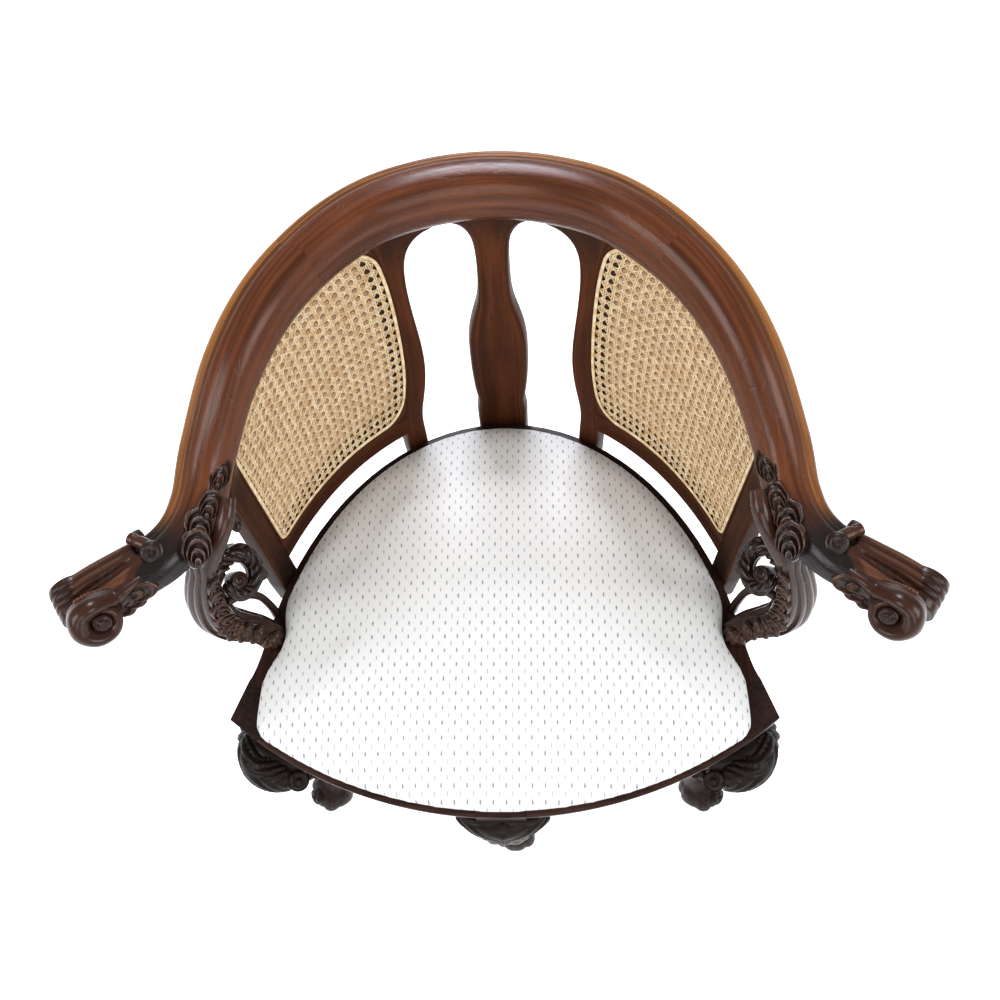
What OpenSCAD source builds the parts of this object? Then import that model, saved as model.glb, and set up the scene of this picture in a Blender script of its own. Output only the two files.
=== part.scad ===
// Desk chair with a horseshoe back rail, two caned back panels and a drop in seat.
// The front faces negative Y, Z points up, and left and right are as seen from the front.
// Plan places are measured from the line between the side legs' outer corners,
// and every sub-part is then moved so that the origin lies under the middle of the chair.

/* [Seat] */
// Height of the seat rails' top above the floor
seat_h = 450; // [430:5:470]
// Depth of the seat rails from top to bottom
rail_h = 54; // [48:1:60]
// Sideways reach of the side legs' outer corners from the middle
corner_x = 280; // [274:1:286]
// How far the front rail bows forward of the side corners
front_bow = 96; // [90:1:102]
// Sideways reach of the side rails where they are straightest
rail_x = 260; // [256:1:264]
// Backward reach of the back seat rail
rail_back = 347; // [340:1:354]
// Width of the front rail's rim beside the seat pad
front_lip = 7; // [6:0.5:9]
// Width of the side and back rails' rim beside the seat pad
side_lip = 12; // [10:0.5:14]
// Depth of the front rails from top to bottom
front_rail_h = 34; // [32:1:40]
// Width of the ledge that carries the drop in seat
ledge_w = 25; // [20:1:30]
// Depth of the rebate that the drop in seat lies in
rebate_h = 14; // [12:1:16]
// Height of the seat's crown above the rails
crown_h = 27; // [20:1:34]
// Depth of the notch in the pad round each arm support
notch_w = 15; // [12:1:17]

/* [Back] */
// Height of the back rail's top at the middle
back_h = 796; // [770:2:810]
// Height of the arms' top
arm_h = 683; // [670:1:695]
// Backward reach of the back rail's middle line
crest_back = 407; // [402:1:412]
// Thickness of the splat and the panel frames
wall_t = 22; // [18:1:24]
// Width of the splat at its shoulders
splat_w = 59; // [52:1:64]
// Height of the panels' bottom rails
panel_rail_h = 28; // [22:1:34]
// Gap between the seat rail and the panels' bottom rails
panel_lift = 22; // [16:1:28]
// How far the uprights' feet reach down the outside of the seat rails
foot_drop = 44; // [36:1:46]
// Thickness of the caning
cane_t = 2.4; // [2:0.1:3]
// Columns of openings across one caned panel
cane_columns = 15; // [8:1:15]
// Rows of openings up one caned panel
cane_rows = 8; // [4:1:8]

/* [Arms] */
// Sideways reach of the arms' middle line at the tips
arm_tip_x = 343; // [338:1:350]
// Width of the rail at the middle of the back
crest_w = 56; // [50:1:60]
// Height of the rail at the middle of the back
crest_t = 48; // [44:1:52]
// Diameter of the scroll that ends each arm
scroll_d = 37; // [34:1:40]
// Width of the scroll that ends each arm
scroll_w = 46; // [42:1:50]
// How far the arm supports bow forward
support_bow = 31; // [24:1:38]
// How far the arm supports bow outward
support_swell = 24; // [18:1:30]

/* [Legs] */
// Reach of a side leg's block along the side rail
block_side = 40; // [36:1:44]
// Width of the front leg's block along the front rail
front_block = 50; // [44:1:56]
// How far a leg's knee stands out from the middle of its block
knee_out = 18; // [14:1:20]
// Half of a leg's thickness at the knee
knee_half = 31; // [28:1:33]
// Half of a leg's thickness at the ankle
ankle_half = 13; // [12:0.5:16]
// Half of the foot's thickness
foot_half = 30; // [26:1:32]

/* [Joinery] */
// Diameter of the dowels
dowel_d = 10; // [8:0.5:11]
// Depth that a dowel enters each piece
dowel_in = 16; // [14:1:18]
// Clearance between pieces that seat in each other
clear = 0.3; // [0.2:0.05:0.4]

/* [Hidden] */

// Colours of the woods, the cane and the cloth
wood_colour = "#8a4a2c";
dark_wood_colour = "#5f3322";
plain_wood_colour = "#c9a77a";
cane_colour = "#cfa765";
cloth_colour = "#ece9df";
web_colour = "#a98f66";
steel_colour = "#8d8d90";

// How far a cut runs past the faces that it opens
over = 1;
// Smoothness of round pieces
$fn = 32;

// Circle that the front rail's outer face follows, which passes through both side corners
front_r = (corner_x * corner_x + front_bow * front_bow) / (2 * front_bow);
front_y = front_r - front_bow;

// Well that the drop in seat lies in: half an ellipse behind and an arc in front
well_x = rail_x - side_lip;
well_back = rail_back - side_lip;
well_corner_r = 21;
least_corner_r = 6;
notch_y = 80;
notch_half = 28;
back_turns = 24;
front_turns = 12;
corner_turns = 4;

function notch_in(y) = abs(y - notch_y) < notch_half
    ? notch_w * (1 + cos(180 * (y - notch_y) / notch_half)) / 2
    : 0;

// Outline of the well, drawn in by a distance, with or without the notches
function seat_outline(inset, notched = true) = let (
    a = well_x - inset,
    b = well_back - inset,
    r_front = front_r - front_lip - inset,
    r = max(well_corner_r - inset, least_corner_r),
    fx = a - r,
    fy = front_y - sqrt((r_front - r) * (r_front - r) - fx * fx),
    turn = atan2(fy - front_y, fx),
    t0 = asin(max(fy, 0) / b),
    back = [for (i = [0 : back_turns]) let (t = t0 + (180 - 2 * t0) * i / back_turns)
        [a * cos(t), b * sin(t)]],
    left = [for (i = [0 : corner_turns]) let (t = 180 - turn * i / corner_turns)
        [-fx + r * cos(t), fy + r * sin(t)]],
    front = [for (i = [1 : front_turns - 1]) let (t = 180 - turn + (180 + 2 * turn) * i / front_turns)
        [r_front * cos(t), front_y + r_front * sin(t)]],
    right = [for (i = [corner_turns : -1 : 0]) let (t = turn * i / corner_turns)
        [fx + r * cos(t), fy + r * sin(t)]])
    [for (p = concat(back, left, front, right))
        [p.x - (notched ? sign(p.x) * notch_in(p.y) : 0), p.y]];

// Seat rails in plan
rail_w = side_lip + ledge_w;
front_w = front_lip + ledge_w + 2 * clear;
inner_x = well_x - ledge_w;
inner_back = well_back - ledge_w;
rail_z = seat_h - rail_h;
// Sideways drop of the side leg block's outer face from its corner to its rear edge
block_taper = 14.5;
// Width of the side leg block's face on the front rail's arc
block_front = 30;
block_turn = asin((corner_x - block_front) / front_r);
front_block_turn = asin(front_block / 2 / front_r);
back_block_turn = 6.5;
joint_turn = 50;
flare_turn = 14;
flare_pull = 35;

function arc_point(r, turn) = [r * sin(turn), front_y - r * cos(turn)];
function outer_point(t) = [rail_x * cos(t), rail_back * sin(t)];
function inner_point(t) = [inner_x * cos(t), inner_back * sin(t)];
function bezier(p, q, r, k) = (1 - k) * (1 - k) * p + 2 * k * (1 - k) * q + k * k * r;
function unit(v) = v / norm(v);

side_end = [corner_x - block_taper, block_side];
side_edge = unit(side_end - [corner_x, 0]);
side_normal = [-side_edge.y, side_edge.x];
side_inner_end = side_end + side_normal * rail_w;
flare_start = outer_point(flare_turn);
flare_mid = flare_start + unit([rail_x * sin(flare_turn), -rail_back * cos(flare_turn)]) * flare_pull;

function strip(t0, t1, steps) = concat(
    [for (i = [0 : steps]) outer_point(t0 + (t1 - t0) * i / steps)],
    [for (i = [steps : -1 : 0]) inner_point(t0 + (t1 - t0) * i / steps)]);

function sector(r0, r1, t0, t1, steps) = concat(
    [for (i = [0 : steps]) arc_point(r1, t0 + (t1 - t0) * i / steps)],
    [for (i = [steps : -1 : 0]) arc_point(r0, t0 + (t1 - t0) * i / steps)]);

// Horseshoe rail. One row every ten degrees round the back, then along the arm.
// Each row holds x as a share of the arm tip, y of the back reach, the height between
// the arm and the back, the width and the thickness.
rail_shares = [
    [0, 1, 1, 1, 1],
    [0.161, 0.985, 0.99, 1, 1],
    [0.316, 0.94, 0.955, 1, 1],
    [0.455, 0.856, 0.88, 0.98, 0.99],
    [0.576, 0.748, 0.735, 0.95, 0.97],
    [0.668, 0.613, 0.52, 0.91, 0.95],
    [0.735, 0.467, 0.2, 0.86, 0.92],
    [0.76, 0.36, 0.03, 0.82, 0.85],
    [0.785, 0.285, 0, 0.8, 0.74],
    [0.83, 0.225, 0.01, 0.84, 0.64],
    [0.893, 0.182, 0.02, 0.88, 0.55],
    [0.953, 0.148, 0.015, 0.89, 0.48],
    [1, 0.12, 0, 0.88, 0.42]];
rail_last = len(rail_shares) - 1;

function rail_row(i) = i < 0
    ? let (row = rail_shares[-i]) [-row[0], row[1], row[2], row[3], row[4]]
    : i > rail_last
        ? 2 * rail_shares[rail_last] - rail_shares[rail_last - 1]
        : rail_shares[i];

function smooth(p, q, r, s, k) = 0.5 * (2 * q + (r - p) * k
    + (2 * p - 5 * q + 4 * r - s) * k * k + (3 * q - p - 3 * r + s) * k * k * k);

// Place on the rail at a station, where 0 is the middle of the back: [x, y, top, width, thickness]
function rail_at(k) = let (
    i = min(floor(k), rail_last - 1),
    row = smooth(rail_row(i - 1), rail_row(i), rail_row(i + 1), rail_row(i + 2), k - i))
    [row[0] * arm_tip_x, row[1] * crest_back, arm_h + row[2] * (back_h - arm_h),
        row[3] * crest_w, row[4] * crest_t];

// Step in stations that the rail's direction is taken over
turn_step = 0.05;
function rail_heading(k) = let (p = rail_at(k - turn_step), q = rail_at(k + turn_step))
    unit([q.x - p.x, q.y - p.y]);
function rail_outward(k) = let (h = rail_heading(k)) [-h.y, h.x];
function rail_under(k) = let (row = rail_at(k)) row[2] - row[4];

// Section of the rail in shares of its half width and its thickness, from the inner face
// over the bottom and up the outer face, where two ridges run along the outer edge
section_shares = [
    [-1, 0.3], [-0.8, 0.04], [-0.62, 0], [0.68, 0], [0.9, 0.08], [1, 0.34], [1, 0.62],
    [0.93, 0.8], [0.8, 0.85], [0.72, 0.835], [0.64, 0.91], [0.5, 0.92], [0.42, 0.9],
    [0.1, 1], [-0.5, 0.98], [-0.86, 0.78], [-1, 0.54]];
// How far the joints between back and arms slant along the rail, as a share of its width
scarf_share = 0.5;
joint_station = 3.3;

function rail_ring(k, slant = 0) = let (
    row = rail_at(k),
    out = rail_outward(k),
    go = rail_heading(k),
    next = rail_at(k + turn_step),
    station_l = norm([next.x - row.x, next.y - row.y]) / turn_step)
    [for (s = section_shares) let (
        across = s[0] * row[3] / 2,
        plan = [row.x, row.y] + out * across + go * across * slant,
        top = rail_at(k + across * slant / station_l)[2])
        [plan.x, plan.y, top - row[4] * (1 - s[1])]];

// Curved wall of the back: its uprights' feet lap the seat rails' outer faces, and it leans
// outward to the rail above
wall_gap = 0.8;
wall_x = rail_x + wall_t / 2 + wall_gap;
wall_back = rail_back + wall_t / 2 + wall_gap;
station_turn = 10;

function wall_foot(k) = [wall_x * sin(station_turn * k), wall_back * cos(station_turn * k)];

// Place on the wall at a station, a share of the way from the seat rail to the rail above,
// and a distance outward of the wall's middle. Below the rail's top the share is negative,
// and counts the uprights' feet
function wall_point(k, share, out) = let (
    row = rail_at(abs(k)),
    way = k < 0 ? -1 : 1,
    arm_out = rail_outward(abs(k)),
    lean = max(0, share),
    foot = unit([wall_foot(k).x / wall_x / wall_x, wall_foot(k).y / wall_back / wall_back] * wall_x),
    outward = unit(foot * (1 - lean) + [way * arm_out.x, arm_out.y] * lean),
    plan = wall_foot(k) * (1 - lean) + [way * row.x, row.y] * lean + outward * out)
    [plan.x, plan.y, share < 0
        ? seat_h + share * foot_drop
        : seat_h + share * (row[2] - row[4] - seat_h - wall_gap)];

// Station of a place that lies a given distance from the middle plane
function station_of(x, share) = x / wall_point(1, share, 0).x;

// Closed solid through rings of points that all have the same count
module loft(rings, flip = false) {
    n = len(rings[0]);
    last = len(rings) - 1;
    points = [for (ring = rings) each ring];
    walls = [for (i = [0 : last - 1], j = [0 : n - 1])
        let (a = i * n + j, b = i * n + (j + 1) % n)
        each [[a, b, a + n], [b, b + n, a + n]]];
    near = [for (j = [1 : n - 2]) [0, j + 1, j]];
    far = [for (j = [1 : n - 2]) [last * n, last * n + j, last * n + j + 1]];
    faces = concat(walls, near, far);
    polyhedron(points = points, faces = [for (f = faces) flip ? f : [f[2], f[1], f[0]]]);
}

// Closed ring solid, whose last ring meets its first
module loop_loft(rings) {
    n = len(rings[0]);
    m = len(rings);
    points = [for (ring = rings) each ring];
    faces = [for (i = [0 : m - 1], j = [0 : n - 1])
        let (a = i * n + j, b = i * n + (j + 1) % n,
            c = ((i + 1) % m) * n + j, d = ((i + 1) % m) * n + (j + 1) % n)
        each [[c, b, a], [c, d, b]]];
    polyhedron(points = points, faces = faces);
}

// Each leg's own curve: how far its knee stands out, and how far its foot is set outward
front_knee_share = 0.1;
front_foot_set = -24;
side_knee_share = 1.4;
side_foot_set = -4;
side_leg_turn = -37;
back_knee_share = 1;
back_foot_set = 8;

// Plan origin moved under the middle of the chair's depth
crest_reach = crest_back + crest_w / 2;
front_reach = front_bow - front_w / 2 + knee_out * front_knee_share + knee_half;
centre_y = (crest_reach - front_reach) / 2;

// One side of the chair in the chair's own place: 1 is right and -1 is left
module placed(side = 1) {
    if (side < 0) mirror([1, 0, 0]) translate([0, -centre_y, 0]) children();
    else translate([0, -centre_y, 0]) children();
}

// Dowels
dowel_r = dowel_d / 2;

module upright_dowel_at(p, grow = 0) {
    depth = dowel_in + grow;
    translate([p.x, p.y, p.z - depth]) cylinder(r = dowel_r + grow, h = 2 * depth);
}

// Joints of the uprights: pegs through their feet into the seat rail, and dowels at their heads
peg_share = -0.5;
splat_peg_shares = [-0.48, -0.82];
stile_foot_x = 104;
side_stile_foot = 6.35;
side_stile_head = 6.1;
function head_at(k) = wall_point(k, 1, 0);

module peg_at(k, share, grow) {
    seat = wall_point(k, share, -wall_t / 2);
    out = wall_point(k, share, wall_t / 2) - seat;
    translate(seat)
        rotate([0, 90, atan2(out.y, out.x)])
            cylinder(r = dowel_r + grow, h = 2 * (dowel_in + grow), center = true);
}

module splat_pegs(grow = 0) { for (share = splat_peg_shares) peg_at(0, share, grow); }
splat_head_station = 0;
module splat_head_dowel(grow = 0) { upright_dowel_at(head_at(splat_head_station), grow); }

stile_foot_station = station_of(stile_foot_x, 0);
stile_head_station = stile_foot_station - 0.3;
module stile_peg(grow = 0) { peg_at(stile_foot_station, peg_share, grow); }
module stile_head_dowel(grow = 0) { upright_dowel_at(head_at(stile_head_station), grow); }
module side_peg(grow = 0) { peg_at(side_stile_foot, peg_share, grow); }
module side_head_dowel(grow = 0) { upright_dowel_at(head_at(side_stile_head), grow); }

// Posts and bands of the curved wall. The edges are stations that change with the height.
edge_r = 3;
edge_station = edge_r / wall_point(1, 0, 0).x;
gap_station = wall_gap / wall_point(1, 0, 0).x;

function post_ring(k0, k1, share) = let (
    half = wall_t / 2,
    e = edge_station,
    mid = (k0 + k1) / 2)
    [wall_point(k0, share, half - edge_r), wall_point(k0, share, edge_r - half),
        wall_point(k0 + e, share, -half), wall_point(mid, share, -half),
        wall_point(k1 - e, share, -half), wall_point(k1, share, edge_r - half),
        wall_point(k1, share, half - edge_r), wall_point(k1 - e, share, half),
        wall_point(mid, share, half), wall_point(k0 + e, share, half)];

// Value at a share of the height in a table of shares whose rows hold a height and a value
function value_at(table, share, i = 0) = i >= len(table) - 2 || share <= table[i + 1][0]
    ? let (k = (share - table[i][0]) / (table[i + 1][0] - table[i][0]))
        table[i][1] + (table[i + 1][1] - table[i][1]) * max(0, min(1, k))
    : value_at(table, share, i + 1);

// Horseshoe rail: the back's middle length, and an arm with its scroll
crest_step = 0.3;
crest_steps = round(joint_station / crest_step);

module rail_length(k0, k1, steps, slant0, slant1) {
    loft([for (i = [0 : steps]) let (s = i / steps)
        rail_ring(k0 + (k1 - k0) * s, i == 0 ? slant0 : i == steps ? slant1 : 0)]);
}

function mirrored_ring(ring) = [for (p = ring) [-p.x, p.y, p.z]];

module crest_blank() {
    stations = [for (i = [0 : crest_steps]) joint_station * i / crest_steps];
    right = [for (k = stations) rail_ring(k, k == stations[crest_steps] ? scarf_share : 0)];
    left = [for (i = [crest_steps : -1 : 1]) mirrored_ring(right[i])];
    loft(concat(left, right));
}

module arm_joint_dowel(grow = 0) {
    row = rail_at(joint_station);
    go = rail_heading(joint_station);
    depth = dowel_in + grow;
    translate([row.x, row.y, row[2] - row[4] / 2])
        rotate([0, 90, atan2(go.y, go.x)])
            cylinder(r = dowel_r + grow, h = 2 * depth, center = true);
}

module crest_rail() {
    color(wood_colour) placed() difference() {
        crest_blank();
        splat_head_dowel(clear / 2);
        for (side = [-1, 1]) mirror([side < 0 ? 1 : 0, 0, 0]) {
            stile_head_dowel(clear / 2);
            arm_joint_dowel(clear / 2);
        }
    }
}

// Scroll of the arm in its own place: the roll's axis lies across the arm
scroll_eye_share = 0.34;
scroll_groove_share = 0.72;
scroll_set = 4;
groove_w = 2;
eye_out = 2.5;

module arm_scroll() {
    row = rail_at(rail_last);
    go = rail_heading(rail_last);
    r = scroll_d / 2;
    translate([row.x, row.y, row[2] - r])
        rotate([0, 0, atan2(go.y, go.x)])
            translate([scroll_set, 0, 0])
                rotate([90, 0, 0]) {
                    difference() {
                        cylinder(r = r, h = scroll_w, center = true);
                        for (side = [-1, 1])
                            translate([0, 0, side * scroll_w / 2])
                                rotate_extrude()
                                    translate([r * scroll_groove_share, 0])
                                        circle(r = groove_w);
                    }
                    cylinder(r = r * scroll_eye_share, h = scroll_w + 2 * eye_out, center = true);
                }
}

arm_steps = 22;
support_station = 7.45;

module arm_rail(side) {
    color(wood_colour) placed(side) difference() {
        union() {
            rail_length(joint_station, rail_last, arm_steps, scarf_share, 0);
            arm_scroll();
        }
        arm_joint_dowel(clear / 2);
        side_head_dowel(clear / 2);
        support_head_dowel(clear / 2);
    }
}
module arm_rail_left() { arm_rail(-1); }
module arm_rail_right() { arm_rail(1); }

// Middle splat. Half widths as shares of the shoulders' half width, up its height
splat_shares = [[-1, 0.97], [0, 0.97], [0.09, 0.95], [0.2, 1], [0.3, 1.06], [0.42, 1.06], [0.48, 1],
    [0.54, 0.87], [0.6, 0.67], [0.68, 0.57], [0.8, 0.56], [0.88, 0.65], [0.93, 0.82], [0.97, 1.08],
    [1, 1.35]];

module back_splat() {
    rings = [for (row = splat_shares) let (
        k = station_of(splat_w / 2 * row[1], row[0]))
        post_ring(-k, k, row[0])];
    color(wood_colour) placed() difference() {
        loft(rings);
        splat_pegs(clear / 2);
        splat_head_dowel(clear / 2);
    }
}

// Inner upright of a caned panel: its edges' distance from the middle plane in shares of
// the splat's shoulder width, up its height
stile_inner_shares = [[-1, 1.585], [0, 1.585], [0.12, 1.6], [0.2, 1.55], [0.3, 1.44], [0.4, 1.39],
    [0.5, 1.4], [0.64, 1.46], [0.75, 1.49], [0.85, 1.46], [0.92, 1.34], [0.97, 1.12], [1, 0.8]];
stile_outer_shares = [[-1, 2], [0, 2], [0.12, 1.975], [0.2, 1.925], [0.3, 1.88], [0.38, 1.8],
    [0.48, 1.765], [0.62, 1.76], [0.76, 1.79], [0.87, 1.86], [0.94, 1.95], [1, 2.07]];
stile_rows = 12;

function stile_inner(share) = station_of(splat_w * value_at(stile_inner_shares, share), share);
function stile_outer(share) = station_of(splat_w * value_at(stile_outer_shares, share), share);

module panel_stile(side) {
    rings = [for (i = [-1 : stile_rows]) let (s = i < 0 ? i : i / stile_rows)
        post_ring(stile_inner(s), stile_outer(s), s)];
    color(wood_colour) placed(side) difference() {
        loft(rings);
        stile_peg(clear / 2);
        stile_head_dowel(clear / 2);
    }
}
module panel_stile_left() { panel_stile(-1); }
module panel_stile_right() { panel_stile(1); }

// Outer upright of a caned panel, in stations at its foot and its head
side_stile_w = 0.5;
function side_inner(share) = let (up = max(0, share)) side_stile_foot * (1 - up)
    + side_stile_head * up - side_stile_w / 2;
function side_outer(share) = side_inner(share) + side_stile_w;

module panel_side_stile(side) {
    rings = [for (i = [-1 : stile_rows / 2]) let (s = i < 0 ? i : 2 * i / stile_rows)
        post_ring(side_inner(s), side_outer(s), s)];
    color(wood_colour) placed(side) difference() {
        loft(rings);
        side_peg(clear / 2);
        side_head_dowel(clear / 2);
    }
}
module panel_side_stile_left() { panel_side_stile(-1); }
module panel_side_stile_right() { panel_side_stile(1); }

// Share of the wall's height at a station and a height above the seat
function share_at(k, up) = up / (rail_under(k) - seat_h);

// Bottom rail between the two uprights
panel_rail_steps = 12;

module panel_bottom_rail(side) {
    low = panel_lift;
    high = panel_lift + panel_rail_h;
    half = wall_t / 2;
    rings = [for (i = [0 : panel_rail_steps]) let (
        s = i / panel_rail_steps,
        k_low = along_panel(s, low),
        k_high = along_panel(s, high))
        [wall_point(k_low, share_at(k_low, low), edge_r - half),
            wall_point(k_low, share_at(k_low, low), half),
            wall_point(k_high, share_at(k_high, high), half),
            wall_point(k_high, share_at(k_high, high), edge_r - half),
            wall_point(k_high, share_at(k_high, high - edge_r), -half),
            wall_point(k_low, share_at(k_low, low + edge_r), -half)]];
    color(wood_colour) placed(side) loft(rings);
}
module panel_bottom_rail_left() { panel_bottom_rail(-1); }
module panel_bottom_rail_right() { panel_bottom_rail(1); }

// Station a share of the way across the panel's opening at a height above the seat
function along_panel(s, up) = let (
    share_in = share_at(stile_foot_station, up),
    share_out = share_at(side_stile_foot, up),
    k0 = stile_outer(share_in) + gap_station,
    k1 = side_inner(share_out) - gap_station)
    k0 + (k1 - k0) * s;

// Caned panel: one curved sheet with rows and columns of openings
cane_hole_share = 0.6;
cane_set = 2.5;
cane_foot = panel_lift + panel_rail_h + clear;
cane_gap = 1.2;
cane_gap_station = cane_gap / wall_point(1, 0, 0).x;

function cane_lines(count) = concat([0],
    [for (i = [0 : count - 1]) each [(i + (1 - cane_hole_share) / 2) / count,
        (i + (1 + cane_hole_share) / 2) / count]], [1]);

function cane_out(face) = cane_set - wall_t / 2 + face * cane_t;

function cane_place(u, v, out) = let (
    k_mid = along_panel(u, cane_foot),
    share = share_at(k_mid, cane_foot) * (1 - v) + v,
    k0 = stile_outer(share) + cane_gap_station,
    k1 = side_inner(share) - cane_gap_station)
    wall_point(k0 + (k1 - k0) * u, share, out);

module cane_sheet(side) {
    us = cane_lines(cane_columns);
    vs = cane_lines(cane_rows);
    nu = len(us);
    nv = len(vs);
    count = nu * nv;
    points = [for (face = [0, 1], v = vs, u = us) cane_place(u, v, cane_out(face))];
    holes = [for (j = [0 : nv - 2], i = [0 : nu - 2]) if (i % 2 == 1 && j % 2 == 1) [i, j]];
    skin = [for (j = [0 : nv - 2], i = [0 : nu - 2]) if (i % 2 == 0 || j % 2 == 0)
        let (a = j * nu + i, b = a + 1, c = a + nu + 1, d = a + nu)
        each [[a, c, b], [a, d, c], [a + count, b + count, c + count], [a + count, c + count, d + count]]];
    inside = [for (hole = holes) let (
        a = hole[1] * nu + hole[0], b = a + 1, c = a + nu + 1, d = a + nu)
        each [for (e = [[a, b], [b, c], [c, d], [d, a]])
            each [[e[1], e[0], e[0] + count], [e[1], e[0] + count, e[1] + count]]]];
    rim = concat([for (i = [0 : nu - 2]) i], [for (j = [0 : nv - 2]) j * nu + nu - 1],
        [for (i = [nu - 1 : -1 : 1]) (nv - 1) * nu + i], [for (j = [nv - 1 : -1 : 1]) j * nu]);
    outside = [for (i = [0 : len(rim) - 1]) let (p = rim[i], q = rim[(i + 1) % len(rim)])
        each [[p, q, q + count], [p, q + count, p + count]]];
    faces = concat(skin, inside, outside);
    color(cane_colour) placed(side)
        polyhedron(points = points, faces = faces);
}
module cane_sheet_left() { cane_sheet(-1); }
module cane_sheet_right() { cane_sheet(1); }

// Strip of cane that covers the sheet's edge
binder_r = 1.6;
binder_inset_share = 0.022;
binder_steps = 9;
binder_sides = 5;

module cane_binder(side) {
    lo = binder_inset_share;
    hi = 1 - binder_inset_share;
    steps = binder_steps;
    path = concat(
        [for (i = [0 : steps - 1]) [lo + (hi - lo) * i / steps, lo]],
        [for (i = [0 : steps / 2]) [hi, lo + (hi - lo) * i / (steps / 2 + 1)]],
        [for (i = [0 : steps - 1]) [hi - (hi - lo) * i / steps, hi]],
        [for (i = [0 : steps / 2]) [lo, hi - (hi - lo) * i / (steps / 2 + 1)]]);
    n = len(path);
    out = cane_out(0) - clear - binder_r;
    middle = [for (p = path) cane_place(p[0], p[1], out)];
    rings = [for (i = [0 : n - 1]) let (
        before = middle[(i + n - 1) % n],
        after = middle[(i + 1) % n],
        go = unit(after - before),
        face = unit(cane_place(path[i][0], path[i][1], out - binder_r) - middle[i]),
        across = unit(cross(go, face)),
        up = cross(across, go))
        [for (j = [0 : binder_sides - 1]) let (t = -360 * j / binder_sides)
            middle[i] + across * binder_r * cos(t) + up * binder_r * sin(t)]];
    color(cane_colour) placed(side) loop_loft(rings);
}
module cane_binder_left() { cane_binder(-1); }
module cane_binder_right() { cane_binder(1); }

// Arm support, which bows forward and outward between the side rail and the arm
support_shares = [[0, 0, 0.72], [0.08, 0.1, 0.66], [0.2, 0.42, 0.6], [0.32, 0.82, 0.72],
    [0.43, 1, 0.95], [0.54, 1.02, 1], [0.65, 0.86, 0.86], [0.76, 0.52, 0.7], [0.86, 0.2, 0.74],
    [0.94, 0.05, 0.95], [1, 0, 1.1]];
support_half = 16;
support_sides = 10;
support_foot_x = rail_x - (rail_x - well_x + notch_w) / 2;

function support_middle(row) = let (
    head = rail_at(support_station),
    foot = [support_foot_x, notch_y],
    plan = foot * (1 - row[0]) + [head.x, head.y] * row[0]
        + [support_swell, -support_bow] * row[1])
    [plan.x, plan.y, seat_h + clear + row[0] * (rail_under(support_station) - seat_h - 2 * clear)];

module support_dowel_at(share, grow) {
    upright_dowel_at(support_middle([share, 0]), grow);
}
module support_head_dowel(grow = 0) { support_dowel_at(1, grow); }
module support_foot_dowel(grow = 0) { support_dowel_at(0, grow); }

module arm_support(side) {
    rings = [for (row = support_shares) let (p = support_middle(row), r = support_half * row[2])
        [for (j = [0 : support_sides - 1]) let (t = 360 * j / support_sides)
            [p.x + r * cos(t), p.y + r * sin(t), p.z]]];
    color(dark_wood_colour) placed(side) difference() {
        loft(rings);
        support_foot_dowel(clear / 2);
        support_head_dowel(clear / 2);
    }
}
module arm_support_left() { arm_support(-1); }
module arm_support_right() { arm_support(1); }

// Open scroll between the arm support and the panel's outer upright
coil_turns = 1.35;
coil_rings = 22;
coil_sides = 7;
coil_r = 25;
coil_end_r = 7;
coil_half = 6.5;
coil_end_half = 4.5;
coil_share = 0.36;
coil_width_share = 1.3;

module support_scroll(side) {
    post = wall_point(side_outer(coil_share), coil_share, 0);
    near = support_middle(support_shares[2]);
    go = unit([near.x - post.x, near.y - post.y]);
    gap = norm([near.x - post.x, near.y - post.y]);
    middle = [post.x, post.y] + go * (coil_r + coil_half + clear);
    high = post.z;
    rings = [for (i = [0 : coil_rings]) let (
        s = i / coil_rings,
        t = 180 - 360 * coil_turns * s,
        r = coil_r + (coil_end_r - coil_r) * s,
        half = coil_half + (coil_end_half - coil_half) * s)
        [for (j = [0 : coil_sides - 1]) let (
            a = -360 * j / coil_sides,
            reach = r + half * cos(a),
            plan = middle + go * reach * cos(t) + [-go.y, go.x] * half * coil_width_share * sin(a))
            [plan.x, plan.y, high + reach * sin(t)]]];
    color(dark_wood_colour) placed(side) loft(rings);
}
module support_scroll_left() { support_scroll(-1); }
module support_scroll_right() { support_scroll(1); }

// Dowels of the seat frame: place and direction of each joint on the right half
ring_mid_r = front_r - front_w / 2;
function strip_joint(t) = let (p = outer_point(t), q = inner_point(t), d = unit(p - q))
    [(p + q) / 2, [-d.y, d.x]];
frame_joints = [
    [arc_point(ring_mid_r, front_block_turn), [cos(front_block_turn), sin(front_block_turn)]],
    [arc_point(ring_mid_r, block_turn), [cos(block_turn), sin(block_turn)]],
    [(side_end + side_inner_end) / 2, side_edge],
    strip_joint(joint_turn),
    strip_joint(90 - back_block_turn)];
dowel_depth_shares = [0.5, 0.82];
front_dowel_depth = (rebate_h + front_rail_h) / 2;

module frame_dowel(i, grow = 0) {
    joint = frame_joints[i];
    for (depth = i < 2 ? [front_dowel_depth] : rail_h * dowel_depth_shares)
        translate([joint[0].x, joint[0].y, seat_h - depth])
            rotate([0, 90, atan2(joint[1].y, joint[1].x)])
                cylinder(r = dowel_r + grow, h = 2 * (dowel_in + grow), center = true);
}

module seat_well() {
    translate([0, 0, seat_h - rebate_h])
        linear_extrude(rebate_h + over) polygon(seat_outline(0));
}

module rail_blank(outline, depth = rail_h) {
    translate([0, 0, seat_h - depth]) linear_extrude(depth) polygon(outline);
}

// The front rail's face has a bead along its top and falls back below it
bead_h = 8;
bead_in = 2.5;
face_in = 9;

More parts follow.
